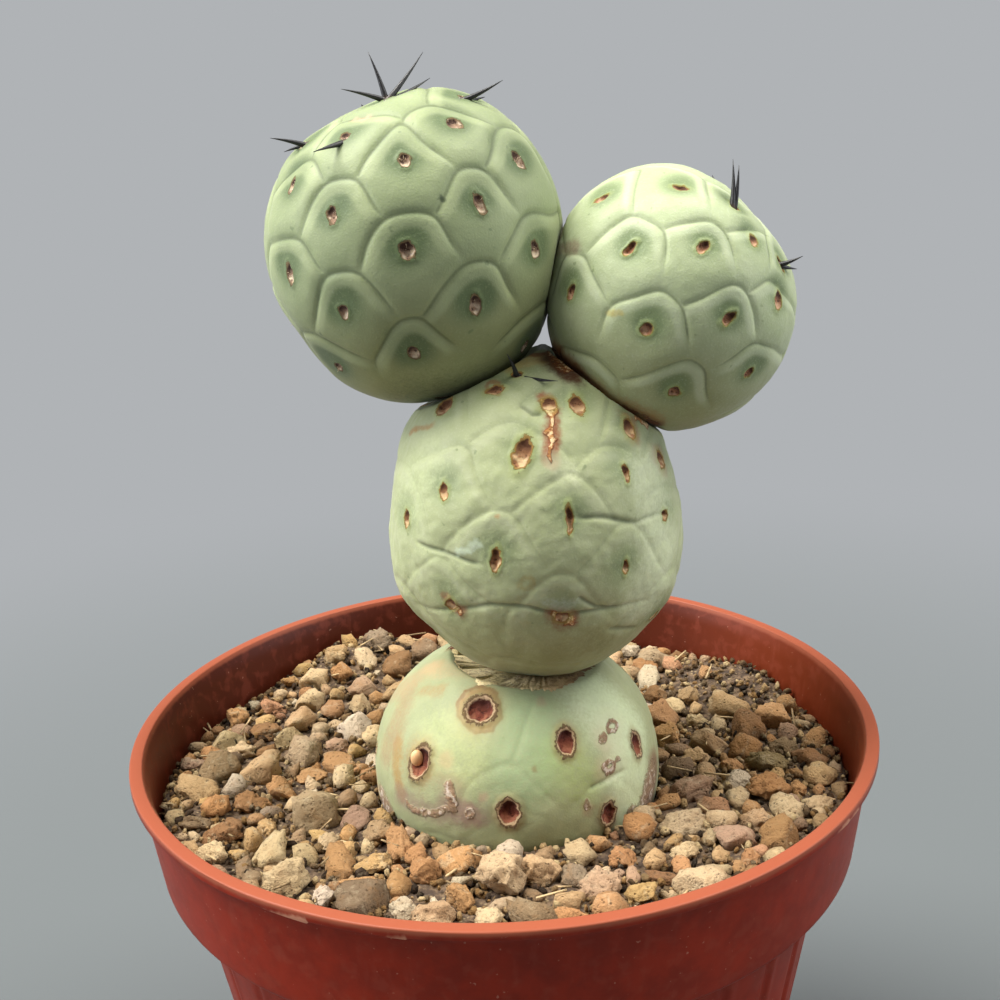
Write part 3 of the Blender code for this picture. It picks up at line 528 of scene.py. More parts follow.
def tubercle_relief(segment, areoles, directions):
    """Height of the tubercles, and where there is a groove, a painted highlight and a hollow."""
    middles, upward = tubercle_middles(segment, areoles)
    nearness = directions @ middles.T
    own = nearness.argmax(axis=1)
    between = np.linalg.norm(middles[:, None] - middles[None], axis=2) + 9 * np.eye(len(middles))
    over = np.einsum("ijk,ik->ij", unit(middles[None] - middles[:, None] + 1e-9), upward)
    lower = over > over.T              # true where the first of a pair lies below the second
    height, groove, band = np.ones(len(directions)), np.zeros(len(directions)), np.zeros(len(directions))
    young = ease(directions @ tip_direction(segment), *OLDEST)
    for number, middle in enumerate(middles):
        above = np.flatnonzero(lower[number] & (between[number] < ARCH_NEIGHBOURS))
        if not len(above):
            continue
        distances = (nearness[:, [number]] - nearness[:, above]) / between[number, above]
        inside = -ARCH_SOFTNESS * np.logaddexp.reduce(-distances / ARCH_SOFTNESS, axis=1)
        level = (directions - areoles[number]) @ upward[number]
        strength = GROOVE_REST + (1 - GROOVE_REST) * ease(level, *GROOVE_FADE)
        strength *= ((own == number) | np.isin(own, above)) * young
        rise = np.where(inside > 0, SHOULDER_ABOVE, SHOULDER_BELOW)
        height *= 1 - strength * np.exp(-np.abs(inside) / rise)
        groove = np.maximum(groove, strength * np.exp(-(inside / LINE_WIDTH) ** 2))
        band = np.maximum(band, strength * np.exp(-((inside - BAND_PLACE) / BAND_WIDTH) ** 2))
    height = TUBERCLE_HEIGHT * (height - 1)
    hollows = unit(areoles + math.sin(HOLLOW_RISE) * upward)
    apart = np.arccos(np.clip(directions @ hollows.T, -1, 1)).min(axis=1)
    hollow = np.exp(-(apart / HOLLOW_WIDTH) ** 2)
    return height - HOLLOW_DEPTH * hollow - LINE_DEPTH * groove, groove, band, hollow


def creases_on(segment, directions):
    """How deep in a crease each direction lies, from 0 to 1."""
    found = np.zeros(len(directions))
    for spots in segment.creases:
        apart, place = line_distances(segment, spots, directions)
        taper = ease(np.minimum(place, 1 - place), *CREASE_TAPER)
        found = np.maximum(found, taper * (CREASE_SHARE * np.exp(-(apart / CREASE_WIDTH) ** 2)
                                           + (1 - CREASE_SHARE) * np.exp(-(apart / CREASE_SLOPE) ** 2)))
    return found


def strayed(directions, spots, size, amount):
    """The directions, pushed aside by smooth noise."""
    push = np.array([noise.noise_vector(Vector(spot) / size) for spot in spots])
    return unit(directions + amount * push)


print("groove rises in", round(math.degrees(SHOULDER_ABOVE), 1), "and", round(math.degrees(SHOULDER_BELOW)),
      "degrees")

# %% Areole pits and cork, as distances
PIT_EDGE = (1.1, 0.45)
PIT_SHARE = 0.5                    # wool and scar tissue fill the pits of the younger segments
BASE_PIT_SHARE = 0.7
AREOLE_SHARE = 0.86                # the pit proper, within the size that the picture shows
RIM_HEIGHT = 0.05 * MM
RIM_SHARE = 0.25
RIM_PLACE = 1.25
RIM_WIDTH = 0.28
CORK_FADE = 1.4
STAIN_FADE = (1.4, 0.3)
CORK_HEIGHT = 0.15 * MM


def areole_size(segment, number):
    """Width, height, lean and depth of an areole, and whether the photograph gives them."""
    given = number < len(segment.areoles) and len(segment.areoles[number]) > 2
    return (segment.areoles[number][2:] if given else FRESH_AREOLE), given


def areole_distances(segment, areoles, directions):
    """The distance to the nearest areole, where 1 is its edge, how far up it, and its pit's depth."""
    _, upward = tubercle_middles(segment, areoles)
    eastward = unit(np.cross(upward, areoles))
    draw = random.Random(segment.name)
    best, depth, level = np.full(len(directions), 6.0), np.zeros(len(directions)), np.zeros(len(directions))
    for number, areole in enumerate(areoles):
        (wide, high, lean, deep), given = areole_size(segment, number)
        if not given:
            lean, high = draw.uniform(-25, 25), high * draw.uniform(0.8, 1.1)
        turn = math.radians(lean)
        across = directions @ eastward[number] * segment.half_width / MM
        along = (directions - areole) @ upward[number] * segment.half_width / MM
        sideways = math.cos(turn) * across - math.sin(turn) * along
        lengthways = math.sin(turn) * across + math.cos(turn) * along
        away = np.hypot(sideways / wide, lengthways / high) * 2 / AREOLE_SHARE
        away[directions @ areole < 0.5] = 6
        depth[away < best] = deep * MM * (BASE_PIT_SHARE if segment is BASE else PIT_SHARE)
        level = np.where(away < best, lengthways / high * 2 / AREOLE_SHARE, level)
        best = np.minimum(best, away)
    return best, level, depth


def off_line(segment, spots, reach, directions):
    """How far each direction is from a line of picture points, where 1 is its reach."""
    return line_distances(segment, spots, directions)[0] * segment.half_width / (reach * MM)


def cork_on(segment, directions):
    """How corky the skin is, from 0 to over 1."""
    found = np.zeros(len(directions))
    for spots, reach, share in segment.patches:
        away = off_line(segment, spots, reach, directions)
        found = np.maximum(found, share * np.clip(CORK_FADE - away, 0, 1))
    return found


def stained(segment, directions):
    """The colour laid at each direction by every stain, painted light and painted shade, with their
    strength as its fourth part.
    """
    colours, strength = np.zeros((len(directions), 3)), np.zeros(len(directions))
    for spots, reach, colour, share in segment.stains:
        over = share * ease(off_line(segment, spots, reach, directions), *STAIN_FADE)
        both = 1 - (1 - strength) * (1 - over)
        weight = (over / np.maximum(both, 1e-6))[:, None]
        colours = colours * (1 - weight) + weight * np.array(linear(colour)[:3])
        strength = both
    return np.column_stack((colours, strength))


print("an areole's pit ends at", PIT_EDGE[0], "of its half width")

# %% The ball
BALL_DETAIL = 112
FRONT_FINENESS = 0.3


def even_ball(count):
    """Directions and quads of a cube blown up to a ball, finer in front, with its seams closed."""
    steps = np.tan(np.linspace(-math.pi / 4, math.pi / 4, count + 1))
    across, along = np.meshgrid(steps, steps, indexing="ij")
    corner = np.arange(count * (count + 1)).reshape(count, count + 1)[:, :count]
    quads = np.stack((corner, corner + count + 1, corner + count + 2, corner + 1), axis=-1).reshape(-1, 4)
    sheets, faces = [], []
    for axis in range(3):
        for side in (-1, 1):
            sheet = np.stack((across, along * side, np.full_like(across, side)), axis=-1).reshape(-1, 3)
            sheets.append(np.roll(sheet, axis, axis=1))
            faces.append(quads + len(faces) * (count + 1) ** 2)
    directions = unit(unit(np.concatenate(sheets)) - FRONT_FINENESS * forward)
    _, first, merged = np.unique(np.round(directions, 6), axis=0, return_index=True, return_inverse=True)
    return directions[first], merged.ravel()[np.concatenate(faces)]


def smoothed(values, faces, times):
    """Values evened out with their neighbours along the mesh's edges."""
    starts, ends = faces.ravel(), np.roll(faces, -1, axis=1).ravel()
    share = np.bincount(starts, minlength=len(values)) + np.bincount(ends, minlength=len(values))
    for _ in range(times):
        total = np.bincount(starts, values[ends], len(values))
        total += np.bincount(ends, values[starts], len(values))
        values = 0.5 * values + 0.5 * total / share
    return values


BALL, BALL_FACES = even_ball(BALL_DETAIL)
print("ball:", len(BALL), "points; closed:", len(BALL) == 6 * BALL_DETAIL ** 2 + 2)

# %% The skin of a segment
PRESS_TURN = np.array((0, -0.12, 0))    # the right one of the upper pair lies a little over the left one
WOOL_SIZE = 0.8 * MM               # fine lumps on what fills the pits, and on cork
WOOL_SHARE = 0.35
CORK_EDGE = (0.3, 0.9)
FAR_OFF = 9.0                      # in millimetres, further than any contact matters
AGE_RANGE = (-0.1, 1.0)            # the skin is painted a darker olive from just above the middle down to the foot


def reach(segment, axis):
    """How far the plain ellipsoid reaches along a direction."""
    return math.hypot(segment.half_width * math.hypot(axis[0], axis[1]), segment.half_height * axis[2])


def contact_planes(segment):
    """Where the segment stops short of others: a point, the outward normal, and the other segment."""
    planes = []
    for lower, upper, share, other in neighbours(segment):
        axis = np.array((0, 0, 1.0)) if lower is BASE else unit(upper.centre - lower.centre)
        axis = unit(axis + PRESS_TURN) if lower is UPPER_LEFT else axis
        reach_low = reach(lower, axis)
        overlap = reach_low + reach(upper, axis) - (upper.centre - lower.centre) @ axis
        place = lower.centre + axis * (reach_low - share * overlap)
        planes.append((place, axis if segment is lower else -axis, other))
    return planes


def flattened(segment, points):
    """The points, pushed back softly where the segment meets another."""
    for place, normal, other in contact_planes(segment):
        past = (points - place) @ normal + SKIN_GAP / 2
        near = BASE_REACH if segment is BASE or other is BASE else CONTACT_REACH
        met = ease(np.linalg.norm((points - other.centre) / half_sizes(other), axis=1), *near)
        points = points - np.outer(met * CONTACT_SOFTNESS * np.logaddexp(0, past / CONTACT_SOFTNESS), normal)
    return points


def skin(segment):
    """Points of the finished skin, and what the skin's material reads at each of them."""
    areoles = all_areoles(segment)
    radius = smooth_radius(segment, BALL)
    spots = segment.centre + BALL * radius[:, None]
    wandering = strayed(BALL, spots, WANDER_SIZE, WANDER)
    frayed = strayed(BALL, spots, FRAY_SIZE, FRAY)
    height, groove, band, hollow = tubercle_relief(segment, areoles, wandering)
    height = smoothed(height, BALL_FACES, 3)
    crease = creases_on(segment, wandering)
    away, level, depth = areole_distances(segment, areoles, frayed)
    rougher = strayed(frayed, spots, 3 * FRAY_SIZE, 2 * FRAY)
    cork = cork_on(segment, rougher)
    lump = np.array([noise.fractal(Vector(spot) / LUMP_SIZE, 0.6, 2, 4) for spot in spots])
    fine = np.array([noise.noise(Vector(spot) / WOOL_SIZE) for spot in spots])
    height = segment.relief * (height - SETTLE) - CREASE_DEPTH * crease
    height += segment.lumps * LUMP_HEIGHT * lump
    pit = ease(away, *PIT_EDGE)
    height -= depth * pit * (1 + WOOL_SHARE * fine)
    height += (RIM_HEIGHT + RIM_SHARE * depth) * np.exp(-((away - RIM_PLACE) / RIM_WIDTH) ** 2)
    height += CORK_HEIGHT * ease(cork, *CORK_EDGE) * (0.5 + fine)
    points = flattened(segment, segment.centre + BALL * (radius + height)[:, None])
    edge = np.full(len(BALL), FAR_OFF)
    for place, normal, _ in contact_planes(segment):
        edge = np.minimum(edge, (place - points) @ normal / MM)
    # the groove and crease value also places painted shade on the skin
    values = {"groove": np.maximum(smoothed(groove, BALL_FACES, 1) * segment.relief, crease),
              "band": smoothed(band, BALL_FACES, 2) * segment.relief, "hollow": hollow * segment.relief,
              "areole": away, "level": level, "cork": cork, "contact": edge,
              # every stain, with painted light and painted shade among them
              "stain": stained(segment, rougher),
              "age": ease(-BALL @ tip_direction(segment), *AGE_RANGE)}
    return points, values


print("the segments meet in", len(CONTACTS), "places")

# %% [markdown]
# The skin of a cactus is a tough green layer under a whitish wax bloom. A pale strip just inside
# each arch is a painted highlight, the grooves are painted darker as painted shade, and the
# hollows show a deeper green, partly a less waxy skin and partly painted shade. Old skin also
# carries cork, the plant's own scar tissue: buff, brown and rough. One function paints the skin
# in coats.
# Each coat covers the last where some value passes a threshold, and noise is added to that value
# first, so that the coat's edge comes out ragged instead of smooth.

# %% Painting in coats
def coat(tree, under, colour, source, low, high, share=1.0, ragged=0.0, grain=None):
    """A coat of colour over what is under it, where a source passes from low to high.
    Gives the new colour and the mask."""
    if grain is not None:
        centred = add(tree, "ShaderNodeMath", {0: grain, 1: 0.5}, operation="SUBTRACT")
        source = add(tree, "ShaderNodeMath", {0: centred, 1: ragged, 2: source}, operation="MULTIPLY_ADD")
    mask = add(tree, "ShaderNodeMapRange", {"Value": source, "From Min": low, "From Max": high,
                                            "To Max": share}, interpolation_type="SMOOTHSTEP")
    colour = linear(colour) if isinstance(colour, str) else colour
    return add(tree, "ShaderNodeMix", {0: mask, 6: under, 7: colour}, data_type="RGBA").outputs[2], mask


def coats(tree, under, *rows):
    """Several coats, each given as the colour and what follows it in a coat."""
    for row in rows:
        under = coat(tree, under, *row)[0]
    return under


print("a coat needs a colour, a source and two thresholds")

# %% Cactus skin
MOTTLE_SIZE = 7 * MM               # soft patches in the bloom
STIPPLE_SIZE = 0.3 * MM            # pores, drawn coarser than the real 0.1 mm so that they show
FLECK_SIZE = 1.3 * MM
FIBRE_SIZE = 0.5 * MM              # wool and cork


def cactus_skin(name, green, deep, pale, stipple, scar, cork, seam=None, brim=1.22, halo_share=0.4):
    """Waxy cactus skin, matt where it is dry, with woolly or corky areoles."""
    made, tree, place = new_material(name)
    groove, band, hollow, away, level, corky, contact, age = [
        add(tree, "ShaderNodeAttribute", attribute_name=label).outputs["Fac"]
        for label in ("groove", "band", "hollow", "areole", "level", "cork", "contact", "age")]
    stain = add(tree, "ShaderNodeAttribute", attribute_name="stain").outputs
    mottle, fibre, pores, fleck = [
        add(tree, "ShaderNodeTexNoise", {"Vector": place, "Scale": 1 / size, "Detail": detail,
                                         "Roughness": 0.6})
        for size, detail in ((MOTTLE_SIZE, 4), (FIBRE_SIZE, 4), (STIPPLE_SIZE, 1), (FLECK_SIZE, 1))]
    colour = coats(
        tree, linear(green),
        (pale, mottle, 0.4, 0.7, 0.3),
        # darker olive towards the foot of the segment
        ("#7f7a42", age, 0.0, 1.0, 0.45, 0.3, mottle),
        # deeper green in the hollows: partly a less waxy skin, partly painted shade
        (deep, hollow, 0.08, 0.8, 0.9, 0.2, mottle),
        # painted highlight along the inside of each arch
        (pale, band, 0.1, 0.9, 0.42, 0.3, mottle),
        (pale, pores, 0.54, 0.72, stipple),
        (deep, fleck, 0.72, 0.8, 0.5),
        # the grooves and creases are painted darker: painted shade
        ("#39432a", groove, 0.35, 1.0, 0.45, 0.1, fibre),
        # each stain, painted light and painted shade included
        (stain["Color"], stain["Alpha"], 0.0, 1.0, 1.0, 0.7, fibre))
    body, skirt, glint, crack = cork
    halo, edge, lip, dark, crust, core = scar
    dry = []
    if seam:
        colour, mask = coat(tree, colour, seam, contact, 0.7, 0.1, 0.7, 0.7, fleck)
        dry.append(mask)
    colour, mask = coat(tree, colour, skirt, corky, 0.25, 0.6, 0.8, 1.1, fibre)
    dry.append(mask)
    colour, mask = coat(tree, colour, body, corky, 0.5, 0.95, 0.9, 1.6, fibre)
    colour = coats(tree, colour, (glint, fleck, 0.5, 0.62, mask, 0.5, fibre),
                   (crack, fibre, 0.44, 0.34, mask),
                   (halo, away, brim + 0.8, 1.1, halo_share, 0.4, mottle))
    colour, mask = coat(tree, colour, edge, away, brim, 0.92 * brim, 0.8, 0.9, fibre)
    dry.append(mask)
    colour = coats(tree, colour, (lip, away, 1.14, 1.06, 0.85, 0.5, fibre))
    # pit painted dark, partly painted shadow on its upper side; its lower end partly painted light
    colour, inside = coat(tree, colour, dark, away, 1.02, 0.85, 1.0, 0.4, fibre)
    for paint, grain, low, high, top, foot in ((crust, fibre, 0.36, 0.5, 0.75, -0.35),
                                               (core, fleck, 0.38, 0.56, 0.15, -0.5)):
        lower = add(tree, "ShaderNodeMapRange", {"Value": level, "From Min": top, "From Max": foot},
                    interpolation_type="SMOOTHSTEP")
        lower_pit_crust_and_light = add(tree, "ShaderNodeMath", {0: inside, 1: lower}, operation="MULTIPLY")
        colour = coats(tree, colour, (paint, grain, low, high, lower_pit_crust_and_light))
    dryness = dry[0]
    for mask in dry[1:]:
        dryness = add(tree, "ShaderNodeMath", {0: dryness, 1: mask}, operation="MAXIMUM")
    fibres = add(tree, "ShaderNodeMath", {0: fibre, 1: dryness}, operation="MULTIPLY")
    relief = add(tree, "ShaderNodeMath", {0: pores, 1: 0.12, 2: fibres}, operation="MULTIPLY_ADD")
    roughness = add(tree, "ShaderNodeMapRange", {"Value": dryness, "To Min": 0.5, "To Max": 0.9})
    finish_material(tree, colour, relief, 0.4 * MM, 0.8, Roughness=roughness, IOR=1.4,
                    Specular_IOR_Level=0.3, Subsurface_Weight=0.1, Subsurface_Scale=1.0 * MM,
                    Subsurface_Radius=(0.8, 1.0, 0.3), Sheen_Weight=0.06, Sheen_Roughness=0.5)
    return made


# An areole is painted with six colours: halo, edge, lip, dark pit, crust or wool, and its lower end
# the dark pit is partly painted shadow on its upper side, the pale lower end partly painted light
WOOLLY = ("#66743f", "#574b2e", "#7a6549", "#3d271f", "#967a63", "#d2bfa4")
SLITTED = ("#a9b270", "#8f9356", "#86733f", "#4a2e20", "#9a6c4e", "#c09a7a")
SCARRED = ("#a0a658", "#7d6a38", "#94713a", "#54331f", "#9c6f4c", "#d2b388")
CORKY = ("#8a7850", "#553a26", "#b59a78", "#40180e", "#673020", "#86503a")
# Cork is painted with four: body, skirt, glints and cracks
SILVERY_CORK = ("#8c7058", "#8a755a", "#c6b8a8", "#4f3a2c")
TAN_CORK = ("#b98450", "#84441f", "#ecd2a4", "#54280f")
BROWN_CORK = ("#a3855a", "#74552f", "#c7ae82", "#4c3520")
RUSTY_CORK = ("#7a4a28", "#5c3818", "#a87a48", "#3a2412")
SKINS = {
    "base": cactus_skin("aged_cactus_skin", "#919772", "#7f8a5a", "#b2b48c", 0.15, CORKY, SILVERY_CORK,
                        brim=1.35, halo_share=0.6),
    "middle": cactus_skin("scarred_cactus_skin", "#a6ad83", "#717f58", "#c2c6a3", 0.2, SCARRED, TAN_CORK,
                          halo_share=0.35),
    "upper_left": cactus_skin("grey_green_cactus_skin", "#8d9872", "#5a6a48", "#b0b98f", 0.12, WOOLLY,
                              BROWN_CORK, halo_share=0.2),
    "upper_right": cactus_skin("pale_cactus_skin", "#a4af88", "#6e7e57", "#c9d1b0", 0.16, SLITTED,
                               RUSTY_CORK, seam="#5a3a1e", halo_share=0.3),
}
print("skins:", ", ".join(material.name for material in SKINS.values()))

# %% The four segments
for segment in SEGMENTS:
    points, values = skin(segment)
    piece = add_piece(f"segment_{segment.name}", points, BALL_FACES, SKINS[segment.name], values)
    stand_for(f"stem_segment_{segment.name}")

# %% [markdown]
# Spines and wool repeat by the dozen, which is work for Geometry Nodes: points go in, and a copy
# of a small shape is set on each, turned to where the point says. The tree below sets a spine on
# every point, along the vector stored with it. It ends by making the copies real and giving them
# their material, and the result is then taken out as a plain mesh.

# %% Geometry Nodes helpers
def new_tree(name, sizes):
    """A Geometry Nodes tree with a geometry input and named sizes."""
    tree = bpy.data.node_groups.new(name, "GeometryNodeTree")
    tree.interface.new_socket("Geometry", in_out="INPUT", socket_type="NodeSocketGeometry")
    for label, value in sizes.items():
        kind = "NodeSocketInt" if isinstance(value, int) else "NodeSocketFloat"
        tree.interface.new_socket(label, in_out="INPUT", socket_type=kind).default_value = value
    tree.interface.new_socket("Geometry", in_out="OUTPUT", socket_type="NodeSocketGeometry")
    return tree, add(tree, "NodeGroupInput").outputs


def along_cone(tree, height, **sizes):
    """A slender cone, and how far along it each of its points is, which the cone carries too."""
    cone = add(tree, "GeometryNodeMeshCone", {label.replace("_", " "): size for label, size in sizes.items()},
               fill_type="NGON")
    spot = add(tree, "ShaderNodeSeparateXYZ", {0: add(tree, "GeometryNodeInputPosition")})
    along = add(tree, "ShaderNodeMath", {0: spot.outputs["Z"], 1: 1 / height}, operation="MULTIPLY")
    return add(tree, "GeometryNodeStoreNamedAttribute", {"Geometry": cone, "Name": "along", "Value": along},
               data_type="FLOAT"), along


def upper_side(tree, given, lowest, highest):
    """Points strewn over the upper side of the tree's mesh, each raised a little."""
    normal = add(tree, "ShaderNodeSeparateXYZ", {0: add(tree, "GeometryNodeInputNormal")})
    upper = add(tree, "FunctionNodeCompare", {0: normal.outputs["Z"], 1: 0.5}, operation="GREATER_THAN")
    spread = add(tree, "GeometryNodeDistributePointsOnFaces", {
        "Mesh": given["Geometry"], "Selection": upper, "Density": given["Density"],
        "Seed": given["Seed"]})
    lift = add(tree, "FunctionNodeRandomValue", {"Min": (0, 0, lowest), "Max": (0, 0, highest),
                                                 "Seed": given["Seed"]}, data_type="FLOAT_VECTOR")
    return add(tree, "GeometryNodeSetPosition", {"Geometry": spread, "Offset": lift})


def finish_tree(tree, geometry, material):
    """Ends a tree: real copies, shaded smooth, with their material."""
    real = add(tree, "GeometryNodeRealizeInstances", {"Geometry": geometry})
    smooth = add(tree, "GeometryNodeSetShadeSmooth", {"Geometry": real})
    painted = add(tree, "GeometryNodeSetMaterial", {"Geometry": smooth, "Material": material})
    add(tree, "NodeGroupOutput", {"Geometry": painted})


def grown(name, source, tree, sizes):
    """A piece made by a tree from a source mesh, as a plain mesh at the origin."""
    scratch = placed("scratch", source)
    step = scratch.modifiers.new("grow", "NODES")
    step.node_group = tree
    for socket in tree.interface.items_tree:
        if socket.in_out == "INPUT" and socket.name in sizes:
            step[socket.identifier] = sizes[socket.name]
    mesh = result_of(scratch)
    bpy.data.objects.remove(scratch)
    mesh.name = name
    made = placed(name, mesh)
    ride(made)


print("tree helpers ready")

# %% Spines
SPINE_RADIUS = 0.5                 # in millimetres, at the root
SPINE_BOW = 0.3                    # as a share of the radius
SPINE_LENGTH = 3.5 * MM
SPINE_ROOT = 0.6 * MM
SPINE_SINK = 0.8 * MM
SPINE_SEED = 5
SPINE_SIDES = 8
SPINE_LEAN = 0.7
SPINE_ZONE = math.radians(58)      # no further than this from the growing tip


def skin_at(segment, direction):
    """The point of the smooth, flattened skin in one direction."""
    spot = segment.centre + direction[None] * smooth_radius(segment, direction[None])[:, None]
    return flattened(segment, spot)[0]


def clear_of_neighbours(segment, base, tip):
    """Whether a spine stays out of the segments that touch its own."""
    points = base + (tip - base) * np.linspace(0, 1.1, 12)[:, None]
    return all((np.linalg.norm((points - other.centre) / (half_sizes(other) + 2 * GAP), axis=1) >= 1).all()
               for *_, other in neighbours(segment))


def spines_of(segment):
    """Bases and tips: the ones in the picture, then two on each areole near the tip behind."""
    made = []
    for base_spot, tip_spot, nearer in segment.spines:
        outward = seen_on_segment(segment, base_spot)
        base = skin_at(segment, outward) - SPINE_SINK * outward
        depth = (base - VIEW_POINT) @ forward - nearer * MM
        made.append((base, VIEW_POINT + view_ray(tip_spot) * depth))
    draw = random.Random(SPINE_SEED)
    areoles = all_areoles(segment)
    tip = tip_direction(segment)
    for outward in areoles[len(segment.areoles):]:
        if segment is BASE or outward @ tip < math.cos(SPINE_ZONE):
            continue
        base = skin_at(segment, outward) - SPINE_SINK * outward
        for _ in range(2):
            lean = np.array([draw.uniform(-SPINE_LEAN, SPINE_LEAN) for _ in range(3)])
            hidden = ease(outward @ forward, 0.1, 0.6)
            point = base + unit(outward + lean) * SPINE_LENGTH * (0.3 + 0.7 * hidden)
            if clear_of_neighbours(segment, base, point):
                made.append((base, point))
    return made


def horn(name, root, shaft, tip_share=1.0):
    """Plant horn: hard, glossy and dark, greyer where it is young at its root."""
    made, tree, place = new_material(name)
    along = add(tree, "ShaderNodeAttribute", attribute_name="along").outputs["Fac"]
    grain = add(tree, "ShaderNodeTexNoise", {"Vector": place, "Scale": 1 / (0.6 * MM), "Detail": 3})
    colour = coats(tree, linear(root), (shaft, along, 0.05, 0.2, tip_share, 0.15, grain),
                   (root, grain, 0.6, 0.75, 0.25))
    finish_material(tree, colour, grain, 0.1 * MM, 0.3, Roughness=0.45)
    return made


tree, given = new_tree("set_spines", {"Radius": SPINE_RADIUS, "Sides": SPINE_SIDES})
cone, along = along_cone(tree, 1.0, Vertices=given["Sides"], Side_Segments=6, Radius_Top=0.06,
                         Radius_Bottom=1.0, Depth=1.0)
turn = add(tree, "ShaderNodeMath", {0: along, 1: math.pi}, operation="MULTIPLY")
arch = add(tree, "ShaderNodeMath", {0: turn}, operation="SINE")
bow = add(tree, "ShaderNodeMath", {0: arch, 1: SPINE_BOW}, operation="MULTIPLY")
aside = add(tree, "ShaderNodeCombineXYZ", {0: bow})
bent = add(tree, "GeometryNodeSetPosition", {"Geometry": cone, "Offset": aside})
way = add(tree, "GeometryNodeInputNamedAttribute", {"Name": "way"}, data_type="FLOAT_VECTOR")
length = add(tree, "ShaderNodeVectorMath", {0: way}, operation="LENGTH").outputs["Value"]
radius = add(tree, "ShaderNodeMath", {0: given["Radius"], 1: MM}, operation="MULTIPLY")
size = add(tree, "ShaderNodeCombineXYZ", {0: radius, 1: radius, 2: length})
turned = add(tree, "FunctionNodeAlignRotationToVector", {"Vector": way}, axis="Z")
copies = add(tree, "GeometryNodeInstanceOnPoints", {"Points": given["Geometry"], "Instance": bent,
                                                    "Rotation": turned, "Scale": size})
finish_tree(tree, copies, horn("black_spine_horn", "#5d4d45", "#1b1a1d"))

spines = [pair for segment in SEGMENTS for pair in spines_of(segment)]
bases, tips = np.array(spines).transpose(1, 0, 2)
bases = bases - unit(tips - bases) * SPINE_ROOT
grown("spines", new_mesh("spine_points", bases, [], {"way": tips - bases}), tree,
      {"Radius": SPINE_RADIUS, "Sides": SPINE_SIDES})

# %% [markdown]
# Wool fills an areole's pit as a tuft of stiff little hairs that lean all ways. The tree takes the
# middle of each areole with its outward direction, makes a handful of copies of that point,
# shifts each a little, and sets a thin three-sided hair on it that leans by a random angle.

# %% Areole wool
HAIRS = 9
HAIR_SEED = 3
HAIR_LENGTH = 1 * MM
WOOL_SINK = 0.6 * MM
WOOL_CLEARANCE = 1.5 * MM          # no wool this near to where two segments touch
tree, given = new_tree("set_wool", {"Hairs": 10, "Length": 1.0, "Seed": 0})
many = add(tree, "GeometryNodeDuplicateElements", {"Geometry": given["Geometry"], "Amount": given["Hairs"]},
           domain="POINT")
jitter = add(tree, "FunctionNodeRandomValue", {"Min": (-0.3,) * 3, "Max": (0.3,) * 3, "Seed": given["Seed"]},
             data_type="FLOAT_VECTOR")
width = add(tree, "GeometryNodeInputNamedAttribute", {"Name": "width"}, data_type="FLOAT")
shift = add(tree, "ShaderNodeVectorMath", {0: jitter, "Scale": width}, operation="SCALE")
spread = add(tree, "GeometryNodeSetPosition", {"Geometry": many, "Offset": shift})
hair, _ = along_cone(tree, HAIR_LENGTH, Vertices=3, Side_Segments=1, Radius_Top=0.03 * MM,
                     Radius_Bottom=0.07 * MM, Depth=HAIR_LENGTH)
out = add(tree, "GeometryNodeInputNamedAttribute", {"Name": "out"}, data_type="FLOAT_VECTOR")
lean = add(tree, "FunctionNodeRandomValue", {"Min": (-0.75,) * 3, "Max": (0.75,) * 3, "Seed": given["Seed"]},
           data_type="FLOAT_VECTOR")
leaning = add(tree, "ShaderNodeVectorMath", {0: out, 1: lean}, operation="ADD")
turned = add(tree, "FunctionNodeAlignRotationToVector", {"Vector": leaning}, axis="Z")
share = add(tree, "FunctionNodeRandomValue", {2: 0.5, 3: 1.2, "Seed": given["Seed"]},
            data_type="FLOAT").outputs[1]
length = add(tree, "ShaderNodeMath", {0: share, 1: given["Length"]}, operation="MULTIPLY")
size = add(tree, "ShaderNodeCombineXYZ", {0: 1.0, 1: 1.0, 2: length})
copies = add(tree, "GeometryNodeInstanceOnPoints", {"Points": spread, "Instance": hair,
                                                    "Rotation": turned, "Scale": size})
finish_tree(tree, copies, horn("areole_wool", "#8a6a4a", "#d8c3a4", 0.9))

middles, outs, widths = [], [], []
for number, areole in enumerate(all_areoles(UPPER_LEFT)):
    wide, high, _, deep = areole_size(UPPER_LEFT, number)[0]
    spot = skin_at(UPPER_LEFT, areole) - areole * (deep * MM + WOOL_SINK)
    if all((place - spot) @ normal > WOOL_CLEARANCE for place, normal, _ in contact_planes(UPPER_LEFT)):
        middles.append(spot)
        outs.append(areole)
        widths.append((wide + high) / 2 * MM)
grown("areole_wool", new_mesh("wool_points", middles, [], {"out": outs, "width": widths}), tree,
      {"Hairs": HAIRS, "Length": 0.5, "Seed": HAIR_SEED})

# %% [markdown]
# Between the base segment and the one above it is a torn collar of dried tissue, which fills the
# wedge under the upper ball. It is a ring with a ragged outline. Its colour runs in strands round
# the ring, so its noise is read from numbers that change slowly round it and fast across it. A
# dried bud sits in one of the craters of the base segment.

# %% Collar and bud
BALLS = {}


def ball_of(subdivisions):
    """Points and faces of an icosphere, made once for each fineness."""
    if subdivisions not in BALLS:
        bm = bmesh.new()
        bmesh.ops.create_icosphere(bm, subdivisions=subdivisions, radius=1)
        BALLS[subdivisions] = (np.array([vertex.co[:] for vertex in bm.verts]),
                               np.array([[vertex.index for vertex in face.verts] for face in bm.faces]))
        bm.free()
    return BALLS[subdivisions]


COLLAR_RADIUS = 12.4 * MM
COLLAR_THICK = 4.5 * MM
COLLAR_SIDES = 420
